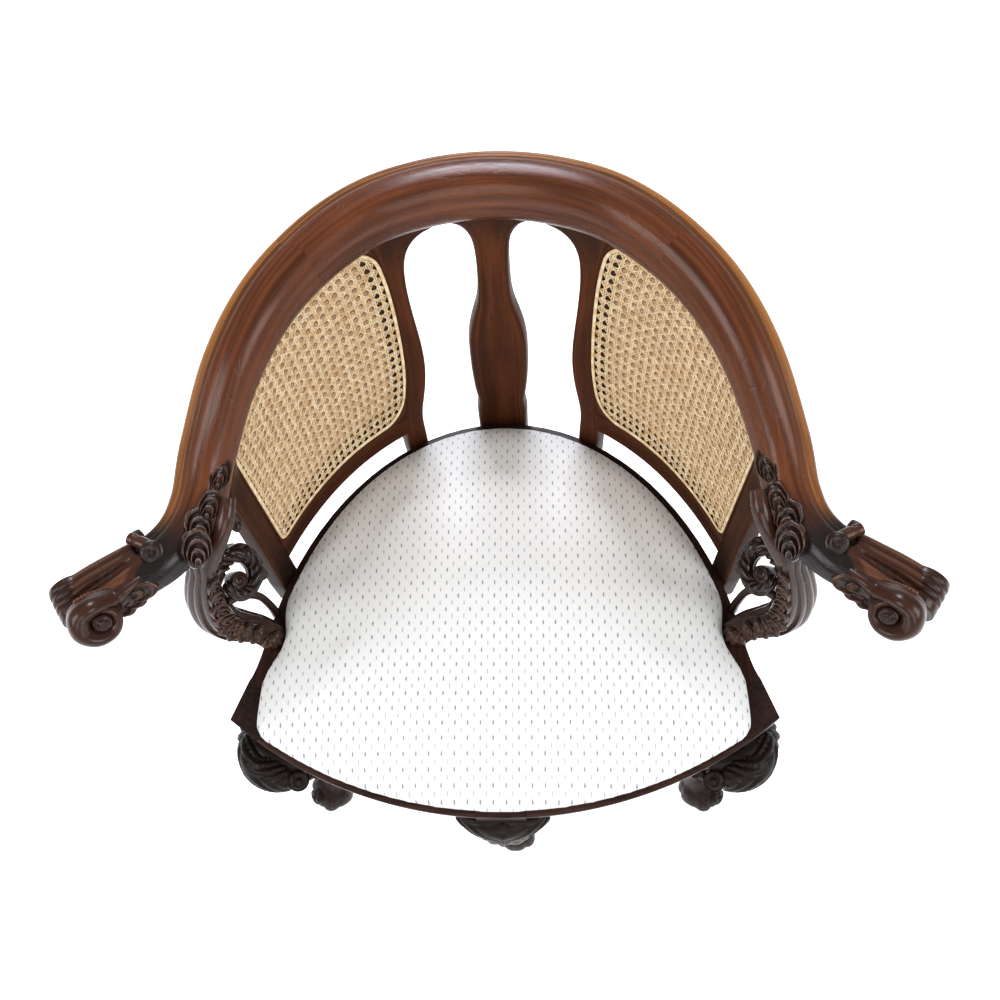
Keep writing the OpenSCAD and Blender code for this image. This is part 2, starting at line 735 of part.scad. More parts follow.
module front_rail_profile() {
    polygon([[front_r - front_w, seat_h - front_rail_h], [front_r - face_in, seat_h - front_rail_h],
        [front_r - bead_in, seat_h - bead_h - bead_in], [front_r, seat_h - bead_h],
        [front_r, seat_h - bead_in], [front_r - bead_in, seat_h], [front_r - front_w, seat_h]]);
}

module seat_rail_front(side) {
    color(wood_colour) placed(side) difference() {
        translate([0, front_y, 0])
            rotate([0, 0, front_block_turn - 90])
                rotate_extrude(angle = block_turn - front_block_turn, $fn = 360)
                    front_rail_profile();
        seat_well();
        frame_dowel(0, clear / 2);
        frame_dowel(1, clear / 2);
    }
}
module seat_rail_front_left() { seat_rail_front(-1); }
module seat_rail_front_right() { seat_rail_front(1); }

side_turn_steps = 9;
flare_steps = 5;
back_turn_steps = 8;
block_steps = 4;
function side_outline() = let (
    outer = [for (i = [0 : side_turn_steps])
        outer_point(joint_turn + (flare_turn - joint_turn) * i / side_turn_steps)],
    flare = [for (i = [1 : flare_steps]) bezier(flare_start, flare_mid, side_end, i / flare_steps)],
    inner = [for (i = [side_turn_steps : -1 : 0])
        inner_point(joint_turn + (flare_turn / 2 - joint_turn) * i / side_turn_steps)])
    concat(outer, flare, [side_inner_end], inner);

module seat_rail_side(side) {
    color(wood_colour) placed(side) difference() {
        rail_blank(side_outline());
        seat_well();
        frame_dowel(2, clear / 2);
        frame_dowel(3, clear / 2);
        side_peg(clear / 2);
        support_foot_dowel(clear / 2);
    }
}
module seat_rail_side_left() { seat_rail_side(-1); }
module seat_rail_side_right() { seat_rail_side(1); }

module seat_rail_back(side) {
    color(wood_colour) placed(side) difference() {
        rail_blank(strip(joint_turn, 90 - back_block_turn, back_turn_steps));
        seat_well();
        frame_dowel(3, clear / 2);
        frame_dowel(4, clear / 2);
        stile_peg(clear / 2);
    }
}
module seat_rail_back_left() { seat_rail_back(-1); }
module seat_rail_back_right() { seat_rail_back(1); }

// Legs. Each row holds the height, the set outward in shares of the knee's,
// and how far the thickness goes from the ankle's to the knee's and to the foot's
leg_shares = [
    [0, 1.2, 0, 0.94], [0.035, 1.2, 0, 1], [0.07, 1, 0, 0.7], [0.1, 0.7, 0, 0.2],
    [0.14, 0.4, 0, 0], [0.24, 0.15, 0.02, 0], [0.4, 0.1, 0.16, 0], [0.57, 0.35, 0.38, 0],
    [0.72, 0.8, 0.68, 0], [0.84, 1.05, 0.94, 0], [0.93, 1, 1, 0], [0.98, 0.6, 0.72, 0],
    [1, 0, 0.18, 0]];
leg_sides = 12;
leg_square_share = 0.8;
block_drop = 8;

function squared(v) = sign(v) * pow(abs(v), leg_square_share);

// The knee share swells or flattens the leg's curve, and the set at the foot moves its lower
// end outward, while the top stays under its block
module leg_shaft(middle, turn, knee_share, foot_set) {
    rings = [for (row = leg_shares) let (
        out = row[1] * knee_out * knee_share + foot_set * (1 - row[0]),
        half = ankle_half + row[2] * (knee_half - ankle_half) + row[3] * (foot_half - ankle_half),
        c = middle + [cos(turn), sin(turn)] * out)
        [for (j = [0 : leg_sides - 1]) let (
            t = 360 * j / leg_sides,
            a = half * squared(cos(t)),
            b = half * squared(sin(t)))
            [c.x + a * cos(turn) - b * sin(turn), c.y + a * sin(turn) + b * cos(turn),
                row[0] * (rail_z - block_drop)]]];
    loft(rings);
}

module leg_block(outline) {
    translate([0, 0, rail_z - block_drop]) linear_extrude(rail_h + block_drop) polygon(outline);
}

module front_leg() {
    color(wood_colour) placed() difference() {
        union() {
            leg_block(sector(front_r - front_w, front_r, -front_block_turn, front_block_turn, block_steps));
            leg_shaft([0, front_w / 2 - front_bow], -90, front_knee_share, front_foot_set);
        }
        seat_well();
        frame_dowel(0, clear / 2);
        mirror([1, 0, 0]) frame_dowel(0, clear / 2);
    }
}

side_block = [arc_point(front_r, block_turn), [corner_x, 0], side_end, side_inner_end,
    arc_point(front_r - front_w, block_turn)];
side_block_middle = (side_block[0] + side_block[2] + side_block[3] + side_block[4]) / 4;

module side_leg(side) {
    color(wood_colour) placed(side) difference() {
        union() {
            leg_block(side_block);
            leg_shaft(side_block_middle, side_leg_turn, side_knee_share, side_foot_set);
        }
        seat_well();
        frame_dowel(1, clear / 2);
        frame_dowel(2, clear / 2);
    }
}
module side_leg_left() { side_leg(-1); }
module side_leg_right() { side_leg(1); }

module back_leg() {
    color(wood_colour) placed() difference() {
        union() {
            leg_block(strip(90 - back_block_turn, 90 + back_block_turn, block_steps));
            leg_shaft([0, (rail_back + inner_back) / 2], 90, back_knee_share, back_foot_set);
        }
        seat_well();
        splat_pegs(clear / 2);
        frame_dowel(4, clear / 2);
        mirror([1, 0, 0]) frame_dowel(4, clear / 2);
    }
}

// Scrolled bracket beside a knee, under the rail
bracket_l = 42;
bracket_h = 46;
bracket_t = 22;
bracket_eye = 8;
bracket_gap = 1.3;
bracket_start = knee_half + bracket_gap;
// How far each bracket swings from the line of its leg block, so that it stays under its rail
front_bracket_swing = 5;
rear_bracket_swing = 8;
back_bracket_swing = 10;

module bracket_shape() {
    difference() {
        square([bracket_l, bracket_h]);
        translate([bracket_l, 0]) scale([1, bracket_h / bracket_l]) circle(r = bracket_l - bracket_eye);
    }
    translate([bracket_l - bracket_eye / 2, bracket_h - bracket_eye]) circle(r = bracket_eye);
}

// Placed from a point under the rail's middle line, along a direction in plan
module bracket_at(p, turn, depth = rail_h) {
    translate([p.x, p.y, seat_h - depth - bracket_h - clear])
        rotate([0, 0, turn])
            translate([bracket_start, 0, 0])
                rotate([90, 0, 0])
                    linear_extrude(bracket_t, center = true)
                        intersection() {
                            bracket_shape();
                            square([bracket_l + bracket_eye, bracket_h]);
                        }
}

module front_leg_bracket(side) {
    turn = front_block_turn + asin((bracket_start + bracket_l / 2) / front_r) / 2;
    color(wood_colour) placed(side)
        bracket_at([0, front_w / 2 - front_bow], turn, front_rail_h);
}
module front_leg_bracket_left() { front_leg_bracket(-1); }
module front_leg_bracket_right() { front_leg_bracket(1); }

module side_front_bracket(side) {
    color(wood_colour) placed(side)
        bracket_at(side_block_middle, 180 + block_turn - front_bracket_swing, front_rail_h);
}
module side_rear_bracket(side) {
    color(wood_colour) placed(side)
        bracket_at(side_block_middle, atan2(side_edge.y, side_edge.x) - rear_bracket_swing);
}
module side_leg_left_front_bracket() { side_front_bracket(-1); }
module side_leg_right_front_bracket() { side_front_bracket(1); }
module side_leg_left_rear_bracket() { side_rear_bracket(-1); }
module side_leg_right_rear_bracket() { side_rear_bracket(1); }

module back_leg_bracket(side) {
    color(wood_colour) placed(side)
        bracket_at([0, (rail_back + inner_back) / 2], -back_bracket_swing);
}
module back_leg_bracket_left() { back_leg_bracket(-1); }
module back_leg_bracket_right() { back_leg_bracket(1); }

// Blocks glued inside the joints of legs and rails
glue_block_w = 24;
glue_block_h = 18;
glue_turn = 9;

function back_glue_turn(i) = 90 - glue_turn + 2 * glue_turn * i / block_steps;
function inner_ring(t, inset) = [(inner_x - inset) * cos(t), (inner_back - inset) * sin(t)];

module glue_blocks() {
    r = front_r - front_w - clear;
    color(plain_wood_colour) placed() translate([0, 0, seat_h - front_rail_h + clear])
        linear_extrude(glue_block_h) {
            polygon(sector(r - glue_block_w, r, -glue_turn, glue_turn, block_steps));
            polygon(concat(
                [for (i = [0 : block_steps]) inner_ring(back_glue_turn(i), clear)],
                [for (i = [block_steps : -1 : 0]) inner_ring(back_glue_turn(i), glue_block_w)]));
            for (side = [0, 1]) mirror([side, 0])
                polygon([arc_point(r, block_turn - glue_turn), arc_point(r, block_turn),
                    side_inner_end - [clear, 0], inner_ring(flare_turn / 2, clear),
                    inner_ring(glue_turn, clear), inner_ring(glue_turn * 2, clear)]);
        }
}

// Drop in seat: a frame in four pieces under webbing, hessian, stuffing and a cover
cover_t = 1.2;
pad_play = 1.2;
frame_in = pad_play + cover_t + clear;
frame_w = 46;
frame_t = 14;
frame_z = seat_h - rebate_h + cover_t + 2 * clear;
frame_front_y = 30;
frame_back_y = 190;

hem_w = 38;
hem_z = frame_z - clear;
tack_d = 1.6;
tack_l = 9;
tack_in = 32;
tack_step = 3;
tack_play = 0.1;

module at_tacks() {
    spots = seat_outline(tack_in, false);
    for (i = [0 : tack_step : len(spots) - 1])
        translate([spots[i].x, spots[i].y, hem_z - cover_t]) children();
}
module tack_shanks(grow = 0) { at_tacks() cylinder(d = tack_d + grow, h = tack_l + grow, $fn = 12); }

module seat_frame_piece(x0, x1, y0, y1) {
    color(plain_wood_colour) placed() difference() {
        translate([0, 0, frame_z])
            linear_extrude(frame_t) intersection() {
                difference() {
                    polygon(seat_outline(frame_in));
                    polygon(seat_outline(frame_in + frame_w, false));
                }
                translate([x0, y0]) square([x1 - x0, y1 - y0]);
            }
        tack_shanks(tack_play);
    }
}
reach = corner_x + rail_back;
module seat_frame_front() { seat_frame_piece(-reach, reach, -reach, frame_front_y); }
module seat_frame_back() { seat_frame_piece(-reach, reach, frame_back_y, reach); }
module seat_frame_left() { seat_frame_piece(-reach, 0, frame_front_y, frame_back_y); }
module seat_frame_right() { seat_frame_piece(0, reach, frame_front_y, frame_back_y); }

web_w = 45;
web_pitch = 70;
web_t = 1.2;
web_z = frame_z + frame_t;
web_set = 8;
web_in = frame_in + web_set;
web_lines = [-2 : 3];

module webbing() {
    color(web_colour) placed() translate([0, 0, web_z])
        for (layer = [0, 1]) translate([0, 0, layer * web_t]) linear_extrude(web_t)
            intersection() {
                polygon(seat_outline(web_in));
                for (i = web_lines)
                    if (layer == 0) translate([(i - 1 / 2) * web_pitch - web_w / 2, -reach])
                        square([web_w, 2 * reach]);
                    else translate([-reach, (i + 1) * web_pitch - web_w / 2])
                        square([2 * reach, web_w]);
            }
}

hessian_t = 0.8;
hessian_z = web_z + 2 * web_t;
module hessian() {
    color(web_colour) placed() translate([0, 0, hessian_z])
        linear_extrude(hessian_t) polygon(seat_outline(web_in));
}

// Crown of the pad: how far each ring is drawn in, and its height, in shares
crown_shares = [[0, 0.3], [0.012, 0.42], [0.04, 0.56], [0.1, 0.72], [0.2, 0.86], [0.36, 0.95],
    [0.58, 0.99], [0.85, 1]];
crown_middle = [0, well_back / 2 - front_bow / 2];

function crown_ring(outline, draw, z) = [for (p = outline) let (
    q = p + (crown_middle - p) * draw) [q.x, q.y, z]];

pad_z = hessian_z + hessian_t;
function crown_z(share) = pad_z + (seat_h + crown_h - pad_z) * share;

module seat_stuffing() {
    outline = seat_outline(frame_in);
    base = seat_outline(web_in);
    color(cloth_colour) placed()
        loft(concat([crown_ring(base, 0, pad_z)],
            [for (row = crown_shares) crown_ring(outline, row[0], crown_z(row[1]) - cover_t - clear)]));
}

// Cover: over the crown, down the frame's edge and turned in under the frame
module seat_cover() {
    outer = seat_outline(pad_play);
    inner = seat_outline(pad_play + cover_t);
    hem = seat_outline(hem_w, false);
    top = [for (i = [len(crown_shares) - 1 : -1 : 0]) let (row = crown_shares[i])
        crown_ring(outer, row[0], crown_z(row[1]))];
    under = [for (row = crown_shares) crown_ring(inner, row[0], crown_z(row[1]) - cover_t)];
    color(cloth_colour) placed() difference() {
        loft(concat(top, [crown_ring(outer, 0, hem_z - cover_t), crown_ring(hem, 0, hem_z - cover_t),
            crown_ring(hem, 0, hem_z), crown_ring(inner, 0, hem_z)], under), true);
        translate([0, 0, -over]) tack_shanks(tack_play);
    }
}

// Tacks that hold the cover's hem under the frame
tack_head_d = 6;
tack_head_h = 1;
module cover_tacks() {
    color(steel_colour) placed() {
        at_tacks() translate([0, 0, -tack_head_h]) cylinder(d = tack_head_d, h = tack_head_h);
        tack_shanks();
    }
}

// All dowels are plain pins that fill their bores
module frame_dowels() {
    color(plain_wood_colour) for (side = [-1, 1]) placed(side)
        for (i = [0 : len(frame_joints) - 1]) frame_dowel(i);
}
module upright_dowels() {
    color(plain_wood_colour) {
        placed() {
            splat_pegs();
            splat_head_dowel();
        }
        for (side = [-1, 1]) placed(side) {
            stile_peg();
            stile_head_dowel();
            side_peg();
            side_head_dowel();
            support_foot_dowel();
            support_head_dowel();
        }
    }
}
module arm_joint_dowels() {
    color(plain_wood_colour) for (side = [-1, 1]) placed(side) arm_joint_dowel();
}

crest_rail();
arm_rail_left();
arm_rail_right();
back_splat();
panel_stile_left();
panel_stile_right();
panel_bottom_rail_left();
panel_bottom_rail_right();
panel_side_stile_left();
panel_side_stile_right();
cane_sheet_left();
cane_sheet_right();
cane_binder_left();
cane_binder_right();
arm_support_left();
arm_support_right();
support_scroll_left();
support_scroll_right();
seat_rail_front_left();
seat_rail_front_right();
seat_rail_side_left();
seat_rail_side_right();
seat_rail_back_left();
seat_rail_back_right();
front_leg();
side_leg_left();
side_leg_right();
back_leg();
front_leg_bracket_left();
front_leg_bracket_right();
side_leg_left_front_bracket();
side_leg_left_rear_bracket();
side_leg_right_front_bracket();
side_leg_right_rear_bracket();
back_leg_bracket_left();
back_leg_bracket_right();
glue_blocks();
seat_frame_front();
seat_frame_back();
seat_frame_left();
seat_frame_right();
webbing();
hessian();
seat_stuffing();
seat_cover();
cover_tacks();
frame_dowels();
upright_dowels();
arm_joint_dowels();
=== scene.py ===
import math

import bpy
from mathutils import Matrix, Vector


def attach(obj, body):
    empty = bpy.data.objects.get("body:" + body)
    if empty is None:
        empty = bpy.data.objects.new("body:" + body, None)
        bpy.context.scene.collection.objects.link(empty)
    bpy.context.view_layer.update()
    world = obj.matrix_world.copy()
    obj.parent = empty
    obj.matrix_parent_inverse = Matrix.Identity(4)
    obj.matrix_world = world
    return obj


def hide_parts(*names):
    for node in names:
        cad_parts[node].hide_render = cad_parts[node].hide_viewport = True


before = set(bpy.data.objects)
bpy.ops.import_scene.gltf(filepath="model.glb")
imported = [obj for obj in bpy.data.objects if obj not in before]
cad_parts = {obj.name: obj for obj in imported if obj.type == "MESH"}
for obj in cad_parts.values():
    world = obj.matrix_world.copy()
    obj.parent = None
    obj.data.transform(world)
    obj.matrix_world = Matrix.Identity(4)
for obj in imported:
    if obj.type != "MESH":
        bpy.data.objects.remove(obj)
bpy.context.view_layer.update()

# HORSESHOE RAIL
# Back and arms are one moulded mahogany rail in three lengths, scarfed together on a slant.
# Its section keeps two ridges along the outer edge, flattens down the arms and ends in
# fluted terminals. Each length is swept from its own sections and replaces the plain one.
origin_y = 0.16125
rail_top, arm_top = 0.796, 0.683
rail_rows = [(0, 0.407, 1, 0.056, 0.048), (0.0552, 0.4009, 0.99, 0.056, 0.048),
             (0.1084, 0.3826, 0.955, 0.056, 0.048), (0.1561, 0.3484, 0.88, 0.0549, 0.0475),
             (0.1976, 0.3044, 0.735, 0.0532, 0.0466), (0.2291, 0.2495, 0.52, 0.051, 0.0456),
             (0.2521, 0.1901, 0.2, 0.0482, 0.0442), (0.2607, 0.1465, 0.03, 0.0459, 0.0408),
             (0.2693, 0.116, 0, 0.0448, 0.0355), (0.2847, 0.0916, 0.01, 0.047, 0.0307),
             (0.3063, 0.0741, 0.02, 0.0493, 0.0264), (0.3269, 0.0602, 0.015, 0.0498, 0.023),
             (0.343, 0.0488, 0, 0.0493, 0.0202)]
rail_end = len(rail_rows) - 1
scarf_at, scarf_slant = 3.3, 0.5
rail_outline = [(-1, 0.3), (-0.84, 0.06), (-0.6, 0), (0.05, 0), (0.66, 0), (0.9, 0.07), (1, 0.3),
                (1, 0.54), (0.965, 0.67), (0.9, 0.755), (0.8, 0.815), (0.7, 0.84), (0.63, 0.83),
                (0.58, 0.845), (0.52, 0.89), (0.46, 0.9), (0.4, 0.885), (0.35, 0.905), (0.2, 0.965),
                (0, 0.995), (-0.25, 1), (-0.6, 0.96), (-0.88, 0.78), (-1, 0.55)]


def between(p, q, r, s, k):
    return tuple(0.5 * (2 * b + (c - a) * k + (2 * a - 5 * b + 4 * c - d) * k * k
                        + (3 * b - a - 3 * c + d) * k ** 3) for a, b, c, d in zip(p, q, r, s))


def rail_row(i):
    if i < 0:
        x, *rest = rail_rows[-i]
        return (-x, *rest)
    if i > rail_end:
        return tuple(2 * a - b for a, b in zip(rail_rows[rail_end], rail_rows[rail_end - 1]))
    return rail_rows[i]


def rail(k):
    i = min(math.floor(k), rail_end - 1)
    x, y, up, width, depth = between(*(rail_row(i + j) for j in (-1, 0, 1, 2)), k - i)
    return Vector((x, y - origin_y, arm_top + up * (rail_top - arm_top))), width, depth


def rail_heading(k):
    step = rail(k + 0.05)[0] - rail(k - 0.05)[0]
    return Vector((step.x, step.y, 0)).normalized()


def rail_outward(k):
    go = rail_heading(k)
    return Vector((-go.y, go.x, 0))


def ramp(low, high, value):
    share = max(0.0, min(1.0, (value - low) / (high - low)))
    return share * share * (3 - 2 * share)


def closed_curve(points, count):
    """Points spread evenly in number along a smooth closed curve through the given ones."""
    n = len(points)
    made = []
    for j in range(count):
        place = j * n / count
        i = int(place)
        made.append(between(*(points[(i + d) % n] for d in (-1, 0, 1, 2)), place - i))
    return made


lap_start, lap_corner, lap_bow, lap_slant = 9.28, -0.05, 0.16, 1.15


def lap_edge(u):
    """Where the carved lap starts at a share of the half width: bowed outside, slanting inside."""
    if u > lap_corner:
        return lap_start + lap_bow * math.sin(math.pi * min(1, (u - lap_corner) / (1 - lap_corner)))
    return lap_start + lap_slant * (lap_corner - u)


def flutes(k):
    """Grooves of the arm's end at a station: place across, depth and breadth."""
    fan = ramp(9.2, 12, k)
    return ((0.64, 0.0011, 0.0014), (0.34 - 0.02 * fan, 0.0012, 0.0013),
            (0.24 - 0.18 * fan, 0.0042, 0.0021), (0.06 - 0.3 * fan, 0.0022, 0.0017))


def rail_sections(k0, k1, count, around, slant0=0.0, slant1=0.0):
    """Sections along the rail, and for each point its outer edge, its age and its ridge."""
    rings, tones = [], []
    for j in range(count + 1):
        k = k0 + (k1 - k0) * j / count
        slant = slant0 if j == 0 else slant1 if j == count else 0
        middle, width, depth = rail(abs(k))
        go, out = rail_heading(abs(k)), rail_outward(abs(k))
        pace = (rail(abs(k) + 0.05)[0] - middle).xy.length / 0.05
        ring, tone = [], []
        for u, v in closed_curve(rail_outline, around):
            across = u * width / 2
            top = rail(abs(k) + across * slant / pace)[0].z
            face = ramp(0.3, 0.7, v)
            lap = ramp(0, 0.07, k - lap_edge(u)) * face
            cut = ramp(0.12, 0.5, k - lap_edge(u)) * face
            lines = flutes(k)
            dip = max(sunk * math.exp(-(((u - line) * width / 2) / broad) ** 2)
                      for line, sunk, broad in lines)
            swell = min(abs(u - line[0]) for line in lines) * width / 2
            if u < -0.2:
                across -= (u + 0.2) * width / 2 * 0.62 * ramp(10.2, 11.8, k)
            plan = middle.xy + out.xy * (across * (1 + 0.03 * lap)) + go.xy * across * slant
            z = top - depth * (1 - v) + 0.0015 * lap - dip * cut
            ring.append(Vector((plan.x if k >= 0 else -plan.x, plan.y, z)))
            tone.append((ramp(0.28, 0.6, u) * ramp(0.2, 0.6, v) * (1 - lap),
                         ramp(6.6, 9.2, k) * (1 - 0.42 * lap),
                         0.75 * cut * (ramp(0.0008, 0.0025, swell) - dip / 0.003)))
        rings.append(ring)
        tones.append(tone)
    return rings, tones


def grid(name, across, along):
    """A flat grid two units wide each way, to be shaped, and its tone attribute of pale edge, grime and
    painted shade, and ridge, which the polish reads.
    """
    bpy.ops.object.select_all(action="DESELECT")
    bpy.ops.mesh.primitive_grid_add(x_subdivisions=across, y_subdivisions=along, size=2)
    made = bpy.context.object
    made.name = made.data.name = name
    return made, made.data.attributes.new("tone", "FLOAT_VECTOR", "POINT")


def wrap(name, rings, tones=None, crease=45):
    """One closed skin through rings of points, made from a flat grid that is wrapped round."""
    around, along = len(rings[0]), len(rings) - 1
    made, tone = grid(name, around, along)
    for v in made.data.vertices:
        i = round((v.co.x + 1) / 2 * around) % around
        j = round((v.co.y + 1) / 2 * along)
        v.co = rings[j][i]
        if tones:
            tone.data[v.index].vector = tones[j][i]
    girth = sum((a - b).length for a, b in zip(rings[along // 2], rings[along // 2][1:]))
    length = sum((a[0] - b[0]).length for a, b in zip(rings, rings[1:]))
    for spot in made.data.uv_layers.active.data:
        spot.uv = (spot.uv[0] * girth, spot.uv[1] * length)
    bpy.ops.object.mode_set(mode="EDIT")
    bpy.ops.mesh.select_all(action="SELECT")
    bpy.ops.mesh.remove_doubles(threshold=0.000004)
    bpy.ops.mesh.fill_holes(sides=0)
    bpy.ops.mesh.select_all(action="SELECT")
    bpy.ops.mesh.normals_make_consistent(inside=False)
    bpy.ops.object.mode_set(mode="OBJECT")
    bpy.ops.object.shade_smooth_by_angle(angle=math.radians(crease))
    return made


def settle(piece, finish, slot, *nodes):
    """Gives a piece its finish and its place on the chair."""
    piece.data.materials.clear()
    piece.data.materials.append(finish)
    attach(piece, "root")
    if nodes:
        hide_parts(*nodes)


class Value:
    """A socket of a finish that adds, multiplies and so on as a number does."""

    def __init__(self, finish, socket):
        self.finish, self.socket = finish, socket

    def math(self, operation, other=None, flipped=False):
        first, second = (other, self) if flipped else (self, other)
        inputs = {0: first} if other is None else {0: first, 1: second}
        return self.finish.node("Math", {"operation": operation}, inputs)

    def __add__(self, other): return self.math("ADD", other)
    def __radd__(self, other): return self.math("ADD", other)
    def __sub__(self, other): return self.math("SUBTRACT", other)
    def __rsub__(self, other): return self.math("SUBTRACT", other, flipped=True)
    def __mul__(self, other): return self.math("MULTIPLY", other)
    def __rmul__(self, other): return self.math("MULTIPLY", other)
    def __truediv__(self, other): return self.math("DIVIDE", other)

    def part(self, low, high):
        """How far the value has gone from one number to another, from 0 to 1."""
        return self.finish.node("MapRange", {"interpolation_type": "SMOOTHSTEP"},
                                {0: self, 1: low, 2: high})


class Finish:
    """A material under work: its nodes are added through one method."""

    def __init__(self, name, colour, roughness):
        self.material = bpy.data.materials.new(name)
        self.material.use_nodes = True
        self.tree = self.material.node_tree
        self.shader = self.tree.nodes["Principled BSDF"]
        self.set("Base Color", colour)
        self.set("Roughness", roughness)

    def node(self, kind, settings=None, inputs=None, output=0):
        made = self.tree.nodes.new("ShaderNode" + kind)
        for key, value in (settings or {}).items():
            setattr(made, key, value)
        for key, value in (inputs or {}).items():
            self.feed(made.inputs[key], value)
        return Value(self, made.outputs[output])

    def feed(self, socket, value):
        if isinstance(value, Value):
            self.tree.links.new(value.socket, socket)
        elif isinstance(value, tuple) and len(value) == 3 and socket.type == "RGBA":
            socket.default_value = (*value, 1)
        else:
            socket.default_value = value

    def set(self, socket, value):
        self.feed(self.shader.inputs[socket], value)

    def parts(self, vector):
        split = self.node("SeparateXYZ", inputs={0: vector}).socket.node
        return [Value(self, out) for out in split.outputs]

    def stretched(self, place, scale):
        return self.node("VectorMath", {"operation": "MULTIPLY"}, {0: place, 1: scale})

    def noise(self, place, scale, detail=3.0, roughness=0.5):
        return self.node("TexNoise", inputs={"Vector": self.stretched(place, scale), "Scale": 1.0,
                                             "Detail": detail, "Roughness": roughness})

    def mix(self, share, first, second):
        return self.node("Mix", {"data_type": "RGBA"}, {0: share, 6: first, 7: second}, output=2)

    def bump(self, height, distance, strength=1.0):
        self.set("Normal", self.node("Bump", inputs={"Height": height, "Distance": distance,
                                                     "Strength": strength}))


def polished(name, pale, body, dark, grime_and_shade_colour, bronze, along="uv", craze=0.0, gloss=0.3, coat=0.12):
    """Old French polish over mahogany: grain, pores, rubbed pale edges, grime that darkens some pieces,
    painted shade behind the arm scroll and in the knee brackets' hollows, and ridges lightened partly by
    rubbing and partly as painted highlight.
    """
    f = Finish(name, body, gloss)
    if along == "uv":
        place = f.node("UVMap")
        fine, broad, pore = (240, 7, 1), (26, 5, 1), (900, 42, 1)
    else:
        place = f.node("TexCoord", output=3)
        fine, broad, pore = [tuple(b if axis == along else a for axis in "xyz")
                             for a, b in ((240, 7), (26, 5), (900, 42))]
    streak = f.noise(place, fine, 5)
    cloud = f.noise(place, broad, 4)
    pores = f.noise(place, pore, 2)
    edge, age_and_shade, ridge = f.parts(f.node("Attribute", {"attribute_name": "tone"}, output=1))
    figure = (streak * 0.55 + cloud * 0.45).part(0.36, 0.64)
    colour = f.mix(figure, dark, body)
    colour = f.mix(edge * (cloud.part(0.3, 0.62) * 0.75 + 0.2), colour, pale)
    colour = f.mix(pores.part(0.62, 0.72) * 0.55, colour, dark)
    # darker where the tone's second part asks: arm ends, carving, leg feet and upright ends are darker,
    # and it is painted shade behind the arm scroll and in the knee brackets' hollows
    grime_and_shade = (age_and_shade * (0.5 + cloud)).part(0.0, 1.0)
    colour = f.mix(grime_and_shade, colour, grime_and_shade_colour)
    # ridges lightened toward the bronze colour: partly rubbed finish, partly painted highlight
    rubbed_and_highlit = (ridge * (0.55 + streak * 0.9)).part(0.45, 1.1)
    colour = f.mix(rubbed_and_highlit, colour, bronze)
    f.set("Base Color", colour)
    f.set("Roughness", cloud * 0.22 + pores.part(0.5, 0.8) * 0.12 + (gloss - 0.12))
    f.set("Coat Weight", coat)
    f.set("Coat Roughness", 0.16)
    f.set("Specular IOR Level", 0.03 + 0.95 * coat)
    height = streak * 0.35 - pores.part(0.6, 0.75) * 0.5
    if craze:
        cracks = f.node("TexVoronoi", {"feature": "DISTANCE_TO_EDGE"},
                        {"Vector": f.stretched(place, (190, 60, 1)), "Scale": 1.0})
        height = height - (1 - cracks.part(0.0, 0.06)) * cloud.part(0.42, 0.6) * craze
    f.bump(height, 0.0006, 0.55)
    return f.material


rail_finish = polished("rail mahogany", (0.36, 0.145, 0.036), (0.15, 0.043, 0.014),
                       (0.055, 0.0145, 0.0055), (0.012, 0.0085, 0.008), (0.15, 0.062, 0.03),
                       craze=0.5, gloss=0.29, coat=0.17)

crest_rings, crest_tones = rail_sections(0, scarf_at, 60, 92, slant1=scarf_slant)


def mirrored(rings):
    return [[Vector((-p.x, p.y, p.z)) for p in ring] for ring in rings[:0:-1]]


crest = wrap("crest_rail_moulded", mirrored(crest_rings) + crest_rings, crest_tones[:0:-1] + crest_tones)
settle(crest, rail_finish, "mahogany", "crest_rail")

arm = wrap("arm_rail_right_moulded", *rail_sections(scarf_at, rail_end, 190, 132, slant0=scarf_slant))

# ARM SCROLLS
# Each arm rolls over at its tip, and inside it a reeded band winds into a spiral round an oval eye,
# with beads along its shoulder. Three small curls sit where the flutes begin, and laps and a long
# leaf clothe the inner flank and the underside. All of it is carved in the rail's own mahogany.


